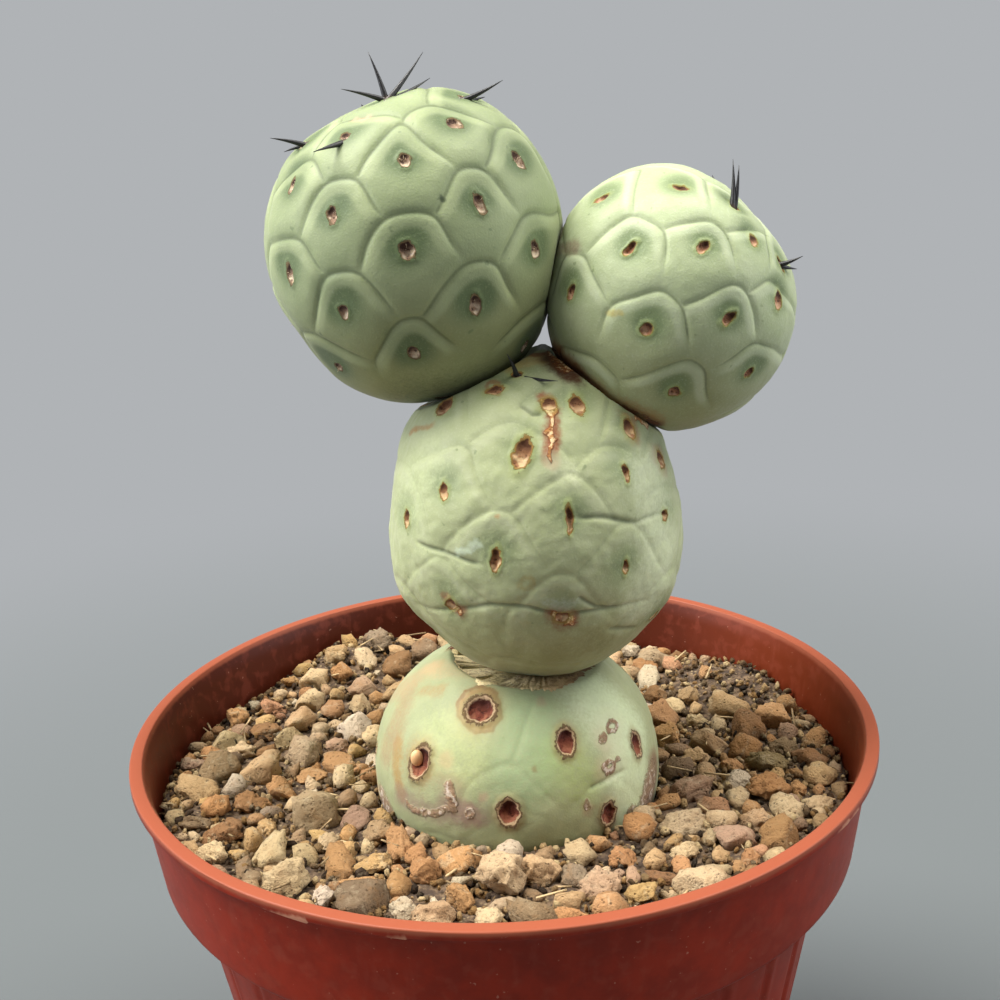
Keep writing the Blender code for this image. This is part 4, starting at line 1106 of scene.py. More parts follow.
# The collar's section: how far inward and how far up between the two segments each point lies
COLLAR_SECTION = ((0, -0.1), (0.1, 0.05), (0.25, 0.12), (0.5, 0.3), (0.8, 0.8), (1, 0.9), (1, -0.1))
BUD_SPOT = (415, 758)
BUD_SINK = 0.4 * MM
BUD_SIZE = np.array((0.95, 0.8, 1.3)) * MM


def under_middle(radius):
    """The height of the middle segment's underside at a distance from its axis."""
    share = (1 - (radius / MIDDLE.half_width) ** MIDDLE.squareness) ** (1 / MIDDLE.squareness)
    return MIDDLE.centre[2] - MIDDLE.half_height * share


def on_base(radius, turn):
    """The height of the base segment's top at a distance and angle from the middle's axis."""
    place = MIDDLE.centre[:2] + round_place(radius, turn)
    apart = np.linalg.norm(place - BASE.centre[:2]) / BASE.half_width
    share = max(1 - apart ** BASE.squareness, 0) ** (1 / BASE.squareness)
    top = np.array([(*place, BASE.centre[2] + BASE.half_height * share)])
    return flattened(BASE, top)[0, 2]


def collar_points():
    turns = np.linspace(0, 2 * math.pi, COLLAR_SIDES, endpoint=False)
    rings, strands = [], []
    for turn in turns:
        around = Vector((*round_place(COLLAR_RADIUS / MM, turn), 0))
        leftward, rightward = ease(-math.cos(turn), -0.3, 1.0), ease(math.cos(turn), 0.1, 0.7)
        outer = COLLAR_RADIUS + MM * (2.8 * leftward - 3.2 * rightward - 0.6
                                      + 1.1 * noise.fractal(around / 4, 0.7, 2, 4)
                                      + 0.3 * noise.noise(around * 2.5))
        profile = []
        for place, (inward, share) in enumerate(COLLAR_SECTION):
            radius = outer - inward * (COLLAR_THICK + 4 * MM * leftward)
            low, high = on_base(radius, turn), under_middle(radius)
            level = low + share * (high - low)
            level += 0.2 * MM * noise.noise(around * 1.8 + Vector((0, 0, place * 3))) * (0 < place < 5)
            profile.append((*(MIDDLE.centre[:2] + round_place(radius, turn)), level))
            strands.append((*round_place(12, turn), 9 * inward + 2 * share))
        rings.append(profile)
    return np.array(rings), np.array(strands)


def dried_tissue(name, straw, brown, dark):
    """Dead, papery tissue: strands of straw and brown, with dark strands, darker towards its right side."""
    made, tree, place = new_material(name)
    strand = add(tree, "ShaderNodeCombineXYZ", {label: add(tree, "ShaderNodeAttribute", attribute_name=label)
                                                .outputs["Fac"] for label in "XYZ"})
    lines = add(tree, "ShaderNodeTexNoise", {"Vector": strand, "Scale": 1.6, "Detail": 4, "Roughness": 0.7})
    crumbs = add(tree, "ShaderNodeTexNoise", {"Vector": place, "Scale": 1 / (0.9 * MM), "Detail": 3})
    side = add(tree, "ShaderNodeSeparateXYZ", {0: place}).outputs["X"]
    colour = coats(tree, linear(straw), (brown, lines, 0.5, 0.66, 0.55, 0.3, crumbs),
                   (brown, side, 0, 9 * MM, 0.7, 9 * MM, crumbs),
                   (dark, side, 7 * MM, 15 * MM, 0.8, 12 * MM, crumbs), (dark, lines, 0.36, 0.28, 0.6))
    height = add(tree, "ShaderNodeMath", {0: lines, 1: crumbs}, operation="ADD")
    finish_material(tree, colour, height, 0.5 * MM, Roughness=0.85)
    return made


points, strands = collar_points()
add_piece("dried_collar", points.reshape(-1, 3), ring_faces(*points.shape[:2])[:, ::-1],
          dried_tissue("dried_tissue", "#ffeab4", "#a87f50", "#553628"),
          {label: strands[:, number] for number, label in enumerate("XYZ")})

outward = seen_on_segment(BASE, BUD_SPOT)
points, faces = ball_of(3)
add_piece("dried_bud", skin_at(BASE, outward) - BUD_SINK * outward + points * BUD_SIZE, faces,
          horn("dried_bud", "#b06c3c", "#dcae7c"), {"along": np.full(len(points), 0.6)})

# %% [markdown]
# The pot is injection-moulded from terracotta-coloured polypropylene. Its wall has one outline
# turned round the axis, so the mesh is made the way a lathe makes it: the outline is written down
# once and repeated all round. Two things break the roundness. The body has shallow flutes, and
# under the rim's bead a paper-thin flash of plastic was squeezed out where the mould closed,
# which has torn off here and there.

# %% The pot's outline
POT_HEIGHT = 95 * MM
RIM_RADIUS = 60 * MM
BEAD_HEIGHT = 1.3 * MM
BEAD_DEPTH = 1.2 * MM
COLLAR_HEIGHT = 16.8 * MM
COLLAR_TAPER = 1.9 * MM
SHOULDER_HEIGHT = 1.9 * MM
SHOULDER_DEPTH = 4.3 * MM
BODY_TAPER = 0.168
WALL = 1.4 * MM
FLOOR = 1.8 * MM
FOOT_HEIGHT = 1.6 * MM
FOOT_WIDTH = 4.5 * MM
FLUTES = 32
FLUTE_DEPTH = 0.35 * MM
FLUTE_WIDTH = 0.09                 # share of a panel
FLUTE_BULGE = 0.13                 # share of a panel, from the groove to the swell beside it
FLASH_DEPTH = 0.5 * MM
FLASH_SETBACK = 0.12 * MM
WARP = 0.12 * MM                   # a moulded wall is never quite round
FLASHES = 23
FLASH_SEED = 8
DRAIN_HOLES = 6
DRAIN_RADIUS = 4 * MM
DRAIN_CIRCLE = 24 * MM
FOOT_NOTCHES = 4
FOOT_NOTCH_WIDTH = 7 * MM
POT_SIDES = 720
SHARP_EDGE = math.radians(35)


def body_radius(height):
    top = POT_HEIGHT - COLLAR_HEIGHT - SHOULDER_HEIGHT
    return RIM_RADIUS - BEAD_DEPTH - COLLAR_TAPER - SHOULDER_DEPTH - (top - height) * BODY_TAPER


def rounded(middle, radius_across, radius_up, start, end, count):
    """Points along a quarter or half round, from one angle to another in degrees."""
    angles = np.radians(np.linspace(start, end, count))
    return [(middle[0] + radius_across * math.cos(angle), middle[1] + radius_up * math.sin(angle))
            for angle in angles]


def pot_outline():
    """Outside from the top of the rim down, across the foot, and up the inside."""
    collar_top = RIM_RADIUS - BEAD_DEPTH
    collar_foot = collar_top - COLLAR_TAPER
    shoulder = POT_HEIGHT - COLLAR_HEIGHT
    step = shoulder - SHOULDER_HEIGHT
    bead = POT_HEIGHT - BEAD_HEIGHT
    foot = body_radius(0)
    soft = 0.28 * MM
    outline = rounded((RIM_RADIUS - soft, POT_HEIGHT - soft), soft, soft, 90, 0, 5)
    outline += rounded((RIM_RADIUS - 0.15 * MM, bead + 0.1 * MM), 0.15 * MM, 0.1 * MM, 0, -90, 3)
    outline += [(collar_top + 0.15 * MM, bead), (collar_top, bead - 0.2 * MM)]
    outline += [(collar_top - COLLAR_TAPER * share, bead - (bead - shoulder) * share)
                for share in (0.1, 0.3, 0.5, 0.7, 0.9)]
    outline += rounded((collar_foot - SHOULDER_DEPTH, shoulder), SHOULDER_DEPTH, SHOULDER_HEIGHT, 0, -90, 9)
    outline += [(body_radius(step - drop * MM), step - drop * MM)
                for drop in (0.5, 1.5, 3, 5, 9, 16, 26, 38, 50, 60, 68)]
    outline += rounded((foot - 0.6 * MM, 0.6 * MM), 0.6 * MM, 0.6 * MM, 0, -90, 4)
    outline += [(foot - FOOT_WIDTH, 0), (foot - FOOT_WIDTH, FOOT_HEIGHT)]
    inside = [(body_radius(FOOT_HEIGHT + FLOOR) - WALL, FOOT_HEIGHT + FLOOR),
              (body_radius(step) - WALL, step + 0.8 * WALL),
              (collar_foot - WALL, shoulder + 0.6 * WALL)]
    inside += [(collar_top - WALL - COLLAR_TAPER * share, bead - (bead - shoulder) * share)
               for share in (0.75, 0.5, 0.3, 0.15, 0.02)]
    inside += rounded((RIM_RADIUS - 2.0 * MM + soft, POT_HEIGHT - soft), soft, soft, 180, 90, 5)
    return outline, inside


def turned_points(outline, angles):
    radii, heights = np.array(outline).T
    return np.stack((np.outer(np.cos(angles), radii), np.outer(np.sin(angles), radii),
                     np.broadcast_to(heights, (len(angles), len(radii)))), axis=-1)


outline, inside = pot_outline()
print("outline:", len(outline) + len(inside), "points, repeated", POT_SIDES, "times")

# %% The pot's mesh
def flash_height(angles):
    """How far the flash hangs below the bead: it grows slowly and is torn off short."""
    draw = random.Random(FLASH_SEED)
    hang = np.zeros_like(angles)
    for _ in range(FLASHES):
        start, length, deep = draw.uniform(0, 2 * math.pi), draw.uniform(0.06, 0.3), draw.uniform(0.3, 1)
        past = (angles - start) % (2 * math.pi)
        hang = np.where(past < length, np.maximum(hang, deep * past / length), hang)
    return hang


angles = np.linspace(0, 2 * math.pi, POT_SIDES, endpoint=False)
wall = turned_points(outline + inside, angles)
radii, heights = np.hypot(wall[..., 0], wall[..., 1]), wall[..., 2]
step_height = POT_HEIGHT - COLLAR_HEIGHT - SHOULDER_HEIGHT
outer = np.arange(len(outline) + len(inside)) < len(outline)
flute = (angles * FLUTES / (2 * math.pi)) % 1
notch = np.exp(-(np.minimum(flute, 1 - flute) / FLUTE_WIDTH) ** 2)
notch -= 0.5 * np.exp(-((flute - FLUTE_BULGE) / FLUTE_WIDTH) ** 2)
on_body = outer[None] * ease(step_height - heights, 0.5 * MM, 5 * MM) * ease(heights, 1 * MM, 6 * MM)
inward = FLUTE_DEPTH * notch[:, None] * on_body
flash = flash_height(angles)[:, None] * outer[None]
at_edge = np.exp(-((heights - (POT_HEIGHT - BEAD_HEIGHT)) / (0.25 * MM)) ** 2)
at_edge *= radii > RIM_RADIUS - BEAD_DEPTH
wobble = np.array([noise.noise(Vector((*round_place(3, angle), 0))) for angle in angles])[:, None]
radii = radii - inward - FLASH_SETBACK * flash * at_edge + WARP * wobble * ease(heights, 0, POT_HEIGHT)
radii = np.minimum(radii, RIM_RADIUS)
heights = heights - FLASH_DEPTH * flash * at_edge
wall = np.stack((np.cos(angles)[:, None] * radii, np.sin(angles)[:, None] * radii, heights), axis=-1)
edge_mark = flash_height(angles)[:, None] * at_edge
# the top of the rim is painted paler: painted light
lit_rim_mark = ease(heights, POT_HEIGHT - 1.5 * MM, POT_HEIGHT - 0.5 * MM)
inner_mark = np.broadcast_to(~outer[None], radii.shape).astype(float)

columns = wall.shape[1]
foot_ring = len(outline) - 1       # from here the outline would cross the floor, which two discs do
quads = ring_faces(POT_SIDES, columns).reshape(POT_SIDES, columns, 4)
quads = quads[:, np.arange(columns) != foot_ring].reshape(-1, 4)
print("wall:", wall.shape[0] * wall.shape[1], "points")

# %% [markdown]
# The floor of the pot has drain holes and its foot ring has notches, which need clean edges. A
# Boolean modifier cuts them from the turned wall, as the solid's holes were cut.

# %% Floor, drain holes and the finished pot
def wall_and_floor(name):
    """The wall's rings, joined to a floor of two discs."""
    under = np.arange(POT_SIDES) * columns + foot_ring
    mesh = new_mesh(name, wall.reshape(-1, 3), quads.tolist() + [under.tolist(), (under + 1)[::-1].tolist()],
                    {"flash": edge_mark.ravel(), "lip": lit_rim_mark.ravel(), "inner": inner_mark.ravel()})
    bm = bmesh.new()
    bm.from_mesh(mesh)
    bmesh.ops.recalc_face_normals(bm, faces=bm.faces)
    bm.to_mesh(mesh)
    bm.free()
    return placed(name, mesh)


def cutters():
    """Upright rods for the drain holes and blocks for the foot's notches, as one object."""
    bm = bmesh.new()
    for number in range(DRAIN_HOLES):
        made = bmesh.ops.create_cone(bm, cap_ends=True, segments=40, radius1=DRAIN_RADIUS,
                                     radius2=DRAIN_RADIUS, depth=4 * FLOOR)
        place = round_place(DRAIN_CIRCLE, 2 * math.pi * number / DRAIN_HOLES)
        bmesh.ops.translate(bm, verts=made["verts"], vec=(*place, FLOOR))
    for number in range(FOOT_NOTCHES):
        angle = 2 * math.pi * (number + 0.5) / FOOT_NOTCHES
        made = bmesh.ops.create_cube(bm, size=1)
        for vertex in made["verts"]:
            across = body_radius(0) - FOOT_WIDTH / 2 + vertex.co.x * 4 * FOOT_WIDTH
            aside = vertex.co.y * FOOT_NOTCH_WIDTH
            place = round_place(across, angle) + round_place(aside, angle + math.pi / 2)
            vertex.co = (*place, vertex.co.z * FOOT_HEIGHT - 0.02 * MM)
    mesh = bpy.data.meshes.new("cutters")
    bm.to_mesh(mesh)
    bm.free()
    return placed("cutters", mesh)


pot, tools = wall_and_floor("pot_wall"), cutters()
cut = pot.modifiers.new("holes", "BOOLEAN")
cut.operation, cut.solver, cut.object = "DIFFERENCE", "EXACT", tools
finished = result_of(pot)
pot.modifiers.clear()
pot.data = finished
finished.polygons.foreach_set("use_smooth", [True] * len(finished.polygons))
finished.set_sharp_from_angle(angle=SHARP_EDGE)
bpy.data.objects.remove(tools)
print("cut:", DRAIN_HOLES, "drain holes and", FOOT_NOTCHES, "notches in the foot")

# %% [markdown]
# Polypropylene pots are semi-matt, and this one has been watered for years. Drops dried on it and
# left whitish, cloudy marks and faint runs down the wall. The top of the rim is painted paler, as
# painted light where it faces the lamps and shines through the thin plastic, and the torn flash
# under the bead shows almost cream. Inside, the wall is painted darker towards the back and the
# left: painted shade.

# %% Moulded polypropylene
POT_CLOUD_SIZE = 6 * MM
POT_DROP_SIZE = 2.2 * MM


def moulded_polypropylene():
    """Semi-matt plastic, marked by water outside, stained by soil inside, with painted shade towards
    the back and left of the inside and painted light on the rim.
    """
    made, tree, place = new_material("terracotta_polypropylene")
    flash, lip, inner = [add(tree, "ShaderNodeAttribute", attribute_name=label).outputs["Fac"]
                         for label in ("flash", "lip", "inner")]
    runs = add(tree, "ShaderNodeMapping", {"Vector": place, "Scale": (1, 1, 0.18)})
    cloud, drops, streak, speck = [
        add(tree, "ShaderNodeTexNoise", {"Vector": where, "Scale": 1 / size, "Detail": detail,
                                         "Roughness": rough, "Distortion": twist})
        for where, size, detail, rough, twist in (
            (place, POT_CLOUD_SIZE, 6, 0.65, 0), (place, POT_DROP_SIZE, 3, 0.5, 0.4),
            (runs, 1.6 * MM, 4, 0.5, 0), (place, 0.7 * MM, 1, 0.5, 0))]
    side = add(tree, "ShaderNodeSeparateXYZ", {0: place}).outputs
    # painted shade: the inside of the wall darker towards the back and the left
    back = add(tree, "ShaderNodeMath", {0: side["X"], 1: -0.5, 2: side["Y"]}, operation="MULTIPLY_ADD")
    behind = add(tree, "ShaderNodeMapRange", {"Value": back, "From Max": 40 * MM})
    painted_back_shade = add(tree, "ShaderNodeMath", {0: behind, 1: inner}, operation="MULTIPLY")
    colour = coats(tree, linear("#852107"), ("#6c1804", cloud, 0.35, 0.65, 0.7),
                   ("#6a2c15", inner, 0.2, 0.9, 0.9), ("#381208", painted_back_shade, 0.0, 1.0, 0.8, 0.2, cloud))
    colour, marks = coat(tree, colour, "#8f4534", drops, 0.5, 0.68, 0.2, 0.5, cloud)
    colour = coats(tree, colour, ("#8a4434", streak, 0.55, 0.75, 0.15), ("#b98b78", speck, 0.74, 0.8, 0.35),
                   # painted light on the top of the rim
                   ("#8f4c36", lip, 0.4, 0.95, 0.95, 0.2, drops),
                   ("#c08468", flash, 0.12, 0.4, 0.9, 0.2, speck))
    roughness = add(tree, "ShaderNodeMapRange", {"Value": marks, "To Min": 0.42, "To Max": 0.65})
    finish_material(tree, colour, cloud, 0.2 * MM, 0.12, Roughness=roughness, IOR=1.49,
                    Specular_IOR_Level=0.18)
    return made


pot.data.materials.clear()
pot.data.materials.append(moulded_polypropylene())
ride(pot)
stand_for("pot")

# %% [markdown]
# Under the gravel lies a dark mineral soil. Only the drain holes show it, so its solid stays and
# just gets a finish: earth with pale grit in it.

# %% Potting soil
def potting_soil(name, dark, light, grit):
    """Crumbly earth with pale grains in it."""
    made, tree, place = new_material(name)
    crumbs = add(tree, "ShaderNodeTexNoise", {"Vector": place, "Scale": 1 / (1.5 * MM), "Detail": 8,
                                              "Roughness": 0.7})
    grains = add(tree, "ShaderNodeTexVoronoi", {"Vector": place, "Scale": 1 / (1.1 * MM)}).outputs["Distance"]
    colour = coats(tree, linear(dark), (light, crumbs, 0.4, 0.65),
                   (grit, grains, 0.28, 0.12, 0.8, 0.3, crumbs))
    height = add(tree, "ShaderNodeMath", {0: crumbs, 1: grains}, operation="SUBTRACT")
    finish_material(tree, colour, height, 0.6 * MM, 0.9, Roughness=0.95)
    return made


soil_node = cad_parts["potting_mix"]
soil_node.data.materials.clear()
soil_node.data.materials.append(potting_soil("mineral_potting_soil", "#2c2119", "#4a3b2c", "#8b7a62"))
print("soil painted")

# %% [markdown]
# The top dressing is crushed pumice: ochre, buff and cream stones up to a centimetre long, with
# smaller chips and dusty grey-brown fines between them. The large stones in front are placed one
# by one from the photograph, each with its own colour. The rest are drawn at random, in the same
# order as in the solid, so that they lie on the same spots. A stone's shape comes from chipping: a
# ball is cut by a few random planes, as a crusher would, then roughened with noise.

# %% Where the stones lie
SOIL_TOP = POT_HEIGHT - 14.6 * MM
BED_TOP = POT_HEIGHT - 9.6 * MM
BED_SLOPE = 0.035
HEAPS = (((-30, 44), 15, 5.0), ((-52, -18), 12, 2.0), ((45, 26), 11, 3.0))
CRUMBS = ((44, 24), 12)            # no stones lie on this heap, only crumbs
STONE_SEED = 17
STONE_TRIES = 2600
STONE_LARGEST = 4.2 * MM
STONE_SMALLEST = 3.1 * MM
STONE_FLATNESS = 0.8
STONE_SINK = 0.2

# Stones that stand out: middle, width and height in picture points, and colour
FRONT_STONES = (
    ((376, 636), 34, 34, "grey"), ((333, 650), 30, 22, "buff"), ((291, 677), 26, 15, "ochre"),
    ((273, 702), 34, 26, "salmon"), ((232, 715), 26, 26, "ochre"), ((263, 727), 41, 22, "brown"),
    ((244, 746), 36, 17, "cream"), ((361, 702), 28, 26, "cream"), ((338, 740), 29, 20, "pink"),
    ((312, 769), 40, 19, "ochre"), ((312, 788), 29, 16, "white"), ((249, 798), 43, 29, "brown"),
    ((194, 760), 29, 17, "pink"), ((184, 777), 32, 19, "rust"), ((194, 815), 46, 19, "drab"),
    ((216, 829), 56, 22, "brown"), ((208, 850), 41, 25, "cream"), ((266, 819), 20, 29, "yellow"),
    ((327, 836), 24, 32, "cream"), ((242, 860), 22, 40, "drab"), ((286, 878), 51, 44, "cream"),
    ((324, 892), 29, 28, "white"), ((360, 878), 47, 20, "ochre"), ((372, 858), 45, 24, "yellow"),
    ((398, 838), 30, 48, "ochre"), ((423, 865), 39, 32, "orange"), ((462, 891), 35, 30, "ochre"),
    ((406, 905), 35, 30, "white"), ((433, 913), 49, 33, "buff"), ((487, 912), 34, 28, "cream"),
    ((502, 874), 53, 44, "cream"), ((540, 866), 46, 34, "buff"), ((574, 870), 29, 28, "grey"),
    ((600, 880), 51, 38, "pink"), ((568, 911), 52, 25, "orange"), ((623, 851), 33, 22, "orange"),
    ((651, 841), 27, 24, "drab"), ((682, 815), 51, 36, "cream"), ((684, 843), 37, 22, "cream"),
    ((643, 886), 37, 30, "yellow"), ((664, 868), 50, 18, "brown"), ((760, 814), 48, 24, "buff"),
    ((750, 851), 22, 22, "orange"), ((691, 784), 50, 32, "pink"), ((768, 784), 46, 30, "orange"),
    ((798, 780), 21, 27, "ochre"), ((821, 795), 39, 18, "cream"), ((768, 757), 45, 23, "moss"),
    ((787, 741), 41, 27, "drab"), ((732, 759), 27, 18, "ochre"), ((696, 752), 32, 20, "buff"),
    ((668, 730), 34, 29, "ochre"), ((696, 716), 32, 20, "cream"), ((655, 691), 30, 21, "brown"),
    ((688, 691), 23, 21, "buff"), ((645, 663), 30, 18, "orange"), ((632, 648), 20, 18, "white"),
    ((707, 666), 18, 16, "ochre"))
STONE_COLOURS = {
    "cream": "#d3bd96", "white": "#d8ccb4", "buff": "#c2a37a", "yellow": "#c9a66e", "ochre": "#b98c5c",
    "orange": "#b98555", "salmon": "#b78768", "pink": "#bb9b80", "rust": "#9a6b4a", "brown": "#906742",
    "drab": "#7a6752", "grey": "#9c8e7a", "moss": "#84794f"}


def bed_height(place):
    height = BED_TOP - BED_SLOPE * place[1]
    for (across, back), wide, high in HEAPS:
        apart = math.hypot(place[0] / MM - across, place[1] / MM - back) / wide
        height += high * MM * math.exp(-apart ** 2)
    return height


def seen_on_gravel(spot, above):
    """The point at a small height over the gravel's bed that shows at a picture point."""
    ray = view_ray(spot)
    level = BED_TOP
    for _ in range(12):
        place = VIEW_POINT + ray * (level + above - VIEW_POINT[2]) / ray[2]
        level = bed_height(place)
    return place


def wall_radius():
    drop = (POT_HEIGHT - BEAD_HEIGHT - SOIL_TOP) / (COLLAR_HEIGHT - BEAD_HEIGHT)
    return RIM_RADIUS - BEAD_DEPTH - WALL - COLLAR_TAPER * drop


def clear_of_plant_and_wall(place, size):
    """Pushes a stone out from the base segment and in from the pot's wall."""
    offset = place - BASE.centre[:2]
    nearest = BASE.half_width + size + 2 * GAP
    if np.linalg.norm(offset) < nearest:
        place = BASE.centre[:2] + unit(offset) * nearest
    furthest = wall_radius() - size - 2 * GAP
    if np.linalg.norm(place) > furthest:
        place = unit(place) * furthest
    return place


def lay_stones():
    """Half length, half width, place, turn and colour of each stone."""
    stones = []
    draw = random.Random(STONE_SEED)
    for spot, wide, high, colour in FRONT_STONES:
        place = seen_on_gravel(spot, 2 * MM)
        depth = (place - VIEW_POINT) @ forward
        length = wide * depth / VIEW_FOCAL / 2
        width = high * depth / VIEW_FOCAL / 1.7
        turn = 0
        if width > length:
            length, width, turn = width, length, math.pi / 2
        turn += draw.uniform(-0.2, 0.2)
        stones.append((length, width, clear_of_plant_and_wall(place[:2], length), turn, colour))
    for number in range(STONE_TRIES):
        length = STONE_LARGEST + (STONE_SMALLEST - STONE_LARGEST) * number / STONE_TRIES
        width = length * draw.uniform(0.65, 0.95)
        angle = draw.uniform(0, 2 * math.pi)
        out = wall_radius() * math.sqrt(draw.random())
        turn = draw.uniform(0, math.pi)
        place = round_place(out, angle)
        if np.linalg.norm(clear_of_plant_and_wall(place, length) - place) > 0:
            continue
        if all(np.linalg.norm(place - other[2]) > width + other[1] for other in stones):
            stones.append((length, width, place, turn, None))
    return stones


STONES = lay_stones()
print(len(STONES), "stones in the solid's places")

# %% Chipping a stone
SHADES = (("cream", 26), ("white", 5), ("buff", 30), ("yellow", 7), ("ochre", 15), ("orange", 4),
          ("salmon", 3), ("pink", 7), ("brown", 8), ("drab", 6), ("grey", 2))
LUMP_SHARE = 0.36
KNOB_DENSITY = 3.4
KNOB_SHARE = 0.15


def chipped(subdivisions, sizes, draw, cuts):
    """A stone: a lumpy ball, cut by random planes, then stretched."""
    points, faces = ball_of(subdivisions)
    shift = Vector([draw.uniform(-50, 50) for _ in range(3)])
    lumps = np.array([noise.fractal(Vector(point) * 1.1 + shift, 0.75, 2, 5) for point in points])
    points = points * (1 + LUMP_SHARE * lumps)[:, None]
    for _ in range(cuts):
        normal = unit(np.array([draw.gauss(0, 1) for _ in range(3)]))
        depth = draw.uniform(0.5, 0.95)
        past = np.maximum(points @ normal - depth, 0)
        points = points - np.outer(0.9 * past, normal)
    knobs = np.array([noise.fractal(Vector(point) * KNOB_DENSITY + shift, 0.8, 2, 4) for point in points])
    points = points * (1 + KNOB_SHARE * knobs)[:, None]
    points /= np.abs(points).max(axis=0)
    return points * sizes, faces


def turn_about(axis, angle):
    """A rotation by an angle about one of the three axes."""
    c, s = math.cos(angle), math.sin(angle)
    made = np.eye(3)
    first, second = [number for number in range(3) if number != axis]
    made[first, first], made[first, second], made[second, first], made[second, second] = c, -s, s, c
    return made


def shade_of(draw, colour=None):
    """A stone's own colour, a little lighter or darker than its kind."""
    kind = colour or draw.choices([name for name, _ in SHADES], [share for _, share in SHADES])[0]
    own = 0.75 * np.array(linear(STONE_COLOURS[kind])) + 0.25 * np.array(linear(STONE_COLOURS["buff"]))
    own[:3] *= draw.uniform(0.66, 1.04) * np.array((1.02, draw.uniform(0.95, 1.0), draw.uniform(0.9, 1.04)))
    return own


print("a large stone has", len(ball_of(4)[1]), "faces")

# %% The stones of the bed
SMALL_TRIES = 9000
SMALL_LARGEST = 2.9 * MM
SMALL_SMALLEST = 1.1 * MM
SMALL_SEED = 31
SMALL_OUT = 0.8                    # share of its width that a small stone keeps clear of plant and wall


def small_stones(laid):
    """Smaller stones that fill the spaces between the ones laid first."""
    draw = random.Random(SMALL_SEED)
    places = [stone[2] for stone in laid]
    widths = [stone[1] for stone in laid]
    extra = []
    for number in range(SMALL_TRIES):
        length = SMALL_LARGEST + (SMALL_SMALLEST - SMALL_LARGEST) * (number / SMALL_TRIES) ** 0.8
        width = length * draw.uniform(0.6, 0.95)
        angle, share, turn = draw.uniform(0, 2 * math.pi), draw.random(), draw.uniform(0, math.pi)
        out = (wall_radius() + 0.5 * MM) * math.sqrt(share)
        place = round_place(out, angle)
        inner, outer = BASE.half_width + SMALL_OUT * width, wall_radius() - SMALL_OUT * width
        if np.linalg.norm(place - BASE.centre[:2]) < inner or out > outer:
            continue
        if (np.linalg.norm(np.array(places) - place, axis=1) > np.array(widths) + width).all():
            places.append(place)
            widths.append(width)
            extra.append((length, width, place, turn, None))
    return extra


def join_stones(stones, fineness, seed, lift, tilt, cuts):
    """Points, faces and colours of many stones together."""
    draw = random.Random(seed)
    points, faces, shades, count = [], [], [], 0
    crumbs, wide = np.array(CRUMBS[0]), CRUMBS[1]
    for length, width, place, turn, colour in stones:
        if not colour and np.linalg.norm(place / MM - crumbs) < wide:
            continue
        tall = width * STONE_FLATNESS * draw.uniform(1.0, 1.25)
        shape, sides = chipped(fineness, (length, width, tall), draw, cuts)
        for axis, angle in ((0, draw.uniform(-tilt, tilt)), (1, draw.uniform(-tilt, tilt)), (2, turn)):
            shape = shape @ turn_about(axis, angle).T
        middle = (*place, bed_height(place) + STONE_SINK * tall + lift * tall * draw.random())
        points.append(shape + middle)
        faces.append(sides + count)
        shades.append(np.tile(shade_of(draw, colour), (len(shape), 1)))
        count += len(shape)
    return np.concatenate(points), np.concatenate(faces), np.concatenate(shades)


SMALL = small_stones(STONES)
print(len(SMALL), "smaller stones between them")

# %% [markdown]
# Pumice is a foam of volcanic glass. Its surface is dull and pitted, stained ochre by iron, and
# dusted paler on top where it has dried. The material takes each stone's own colour from its
# points, stains it in patches, digs pits of about half a millimetre, and paints the pits and the
# fine hollows dark as painted shade.

# %% Crushed pumice
def crushed_pumice(name, stain, dust, pit):
    """Dull, pitted stone in the colour that each point carries, stained and dusted in patches, with
    painted shade in its pits.
    """
    made, tree, place = new_material(name)
    own = add(tree, "ShaderNodeAttribute", attribute_name="tint").outputs["Color"]
    patches, grain = [
        add(tree, "ShaderNodeTexNoise", {"Vector": place, "Scale": 1 / size, "Detail": 5,
                                         "Roughness": rough, "Distortion": twist})
        for size, rough, twist in ((3.2 * MM, 0.65, 0.6), (0.7 * MM, 0.7, 0))]
    pits = add(tree, "ShaderNodeTexVoronoi", {"Vector": place, "Scale": 1 / (0.9 * MM)}).outputs["Distance"]
    colour = coats(tree, own, (stain, patches, 0.5, 0.72, 0.35, 0.4, grain),
                   # the pit colour here and on the next line is painted shade in the pits and fine hollows
                   (dust, patches, 0.46, 0.3, 0.35, 0.4, grain), (pit, grain, 0.45, 0.3, 0.7),
                   (pit, pits, 0.2, 0.05, 0.6, 0.4, grain))
    hollow = add(tree, "ShaderNodeMapRange", {"Value": pits, "From Max": 0.25})
    height = add(tree, "ShaderNodeMath", {0: hollow, 1: 0.4, 2: grain}, operation="MULTIPLY_ADD")
    finish_material(tree, colour, height, 0.9 * MM, Roughness=0.95, Specular_IOR_Level=0.2)
    return made


pumice = crushed_pumice("crushed_pumice", "#94683a", "#cfbf9f", "#463421")
# Each heap of stones: fineness, seed, how far they are lifted and tilted, and the number of cuts
for name, stones, *making in (
        ("pumice_stones_front", STONES[:len(FRONT_STONES)], 4, 71, 0.35, 0.3, 7),
        ("pumice_stones", STONES[len(FRONT_STONES):], 3, 72, 0.35, 0.35, 7),
        ("pumice_chips", SMALL, 2, 73, 0.4, 0.6, 5)):
    points, faces, shades = join_stones(stones, *making)
    add_piece(name, points, faces, pumice, {"tint": shades})

# %% [markdown]
# The bed under the stones is a ring-shaped slab: it has a hole for the base segment in it and
# reaches to the pot's wall. Its top is strewn with fines. A tree scatters points over it and sets a
# tiny chip on each, turned, stretched and coloured at random.

# %% The bed
BED_STEPS = 26
BED_SIDES = 260


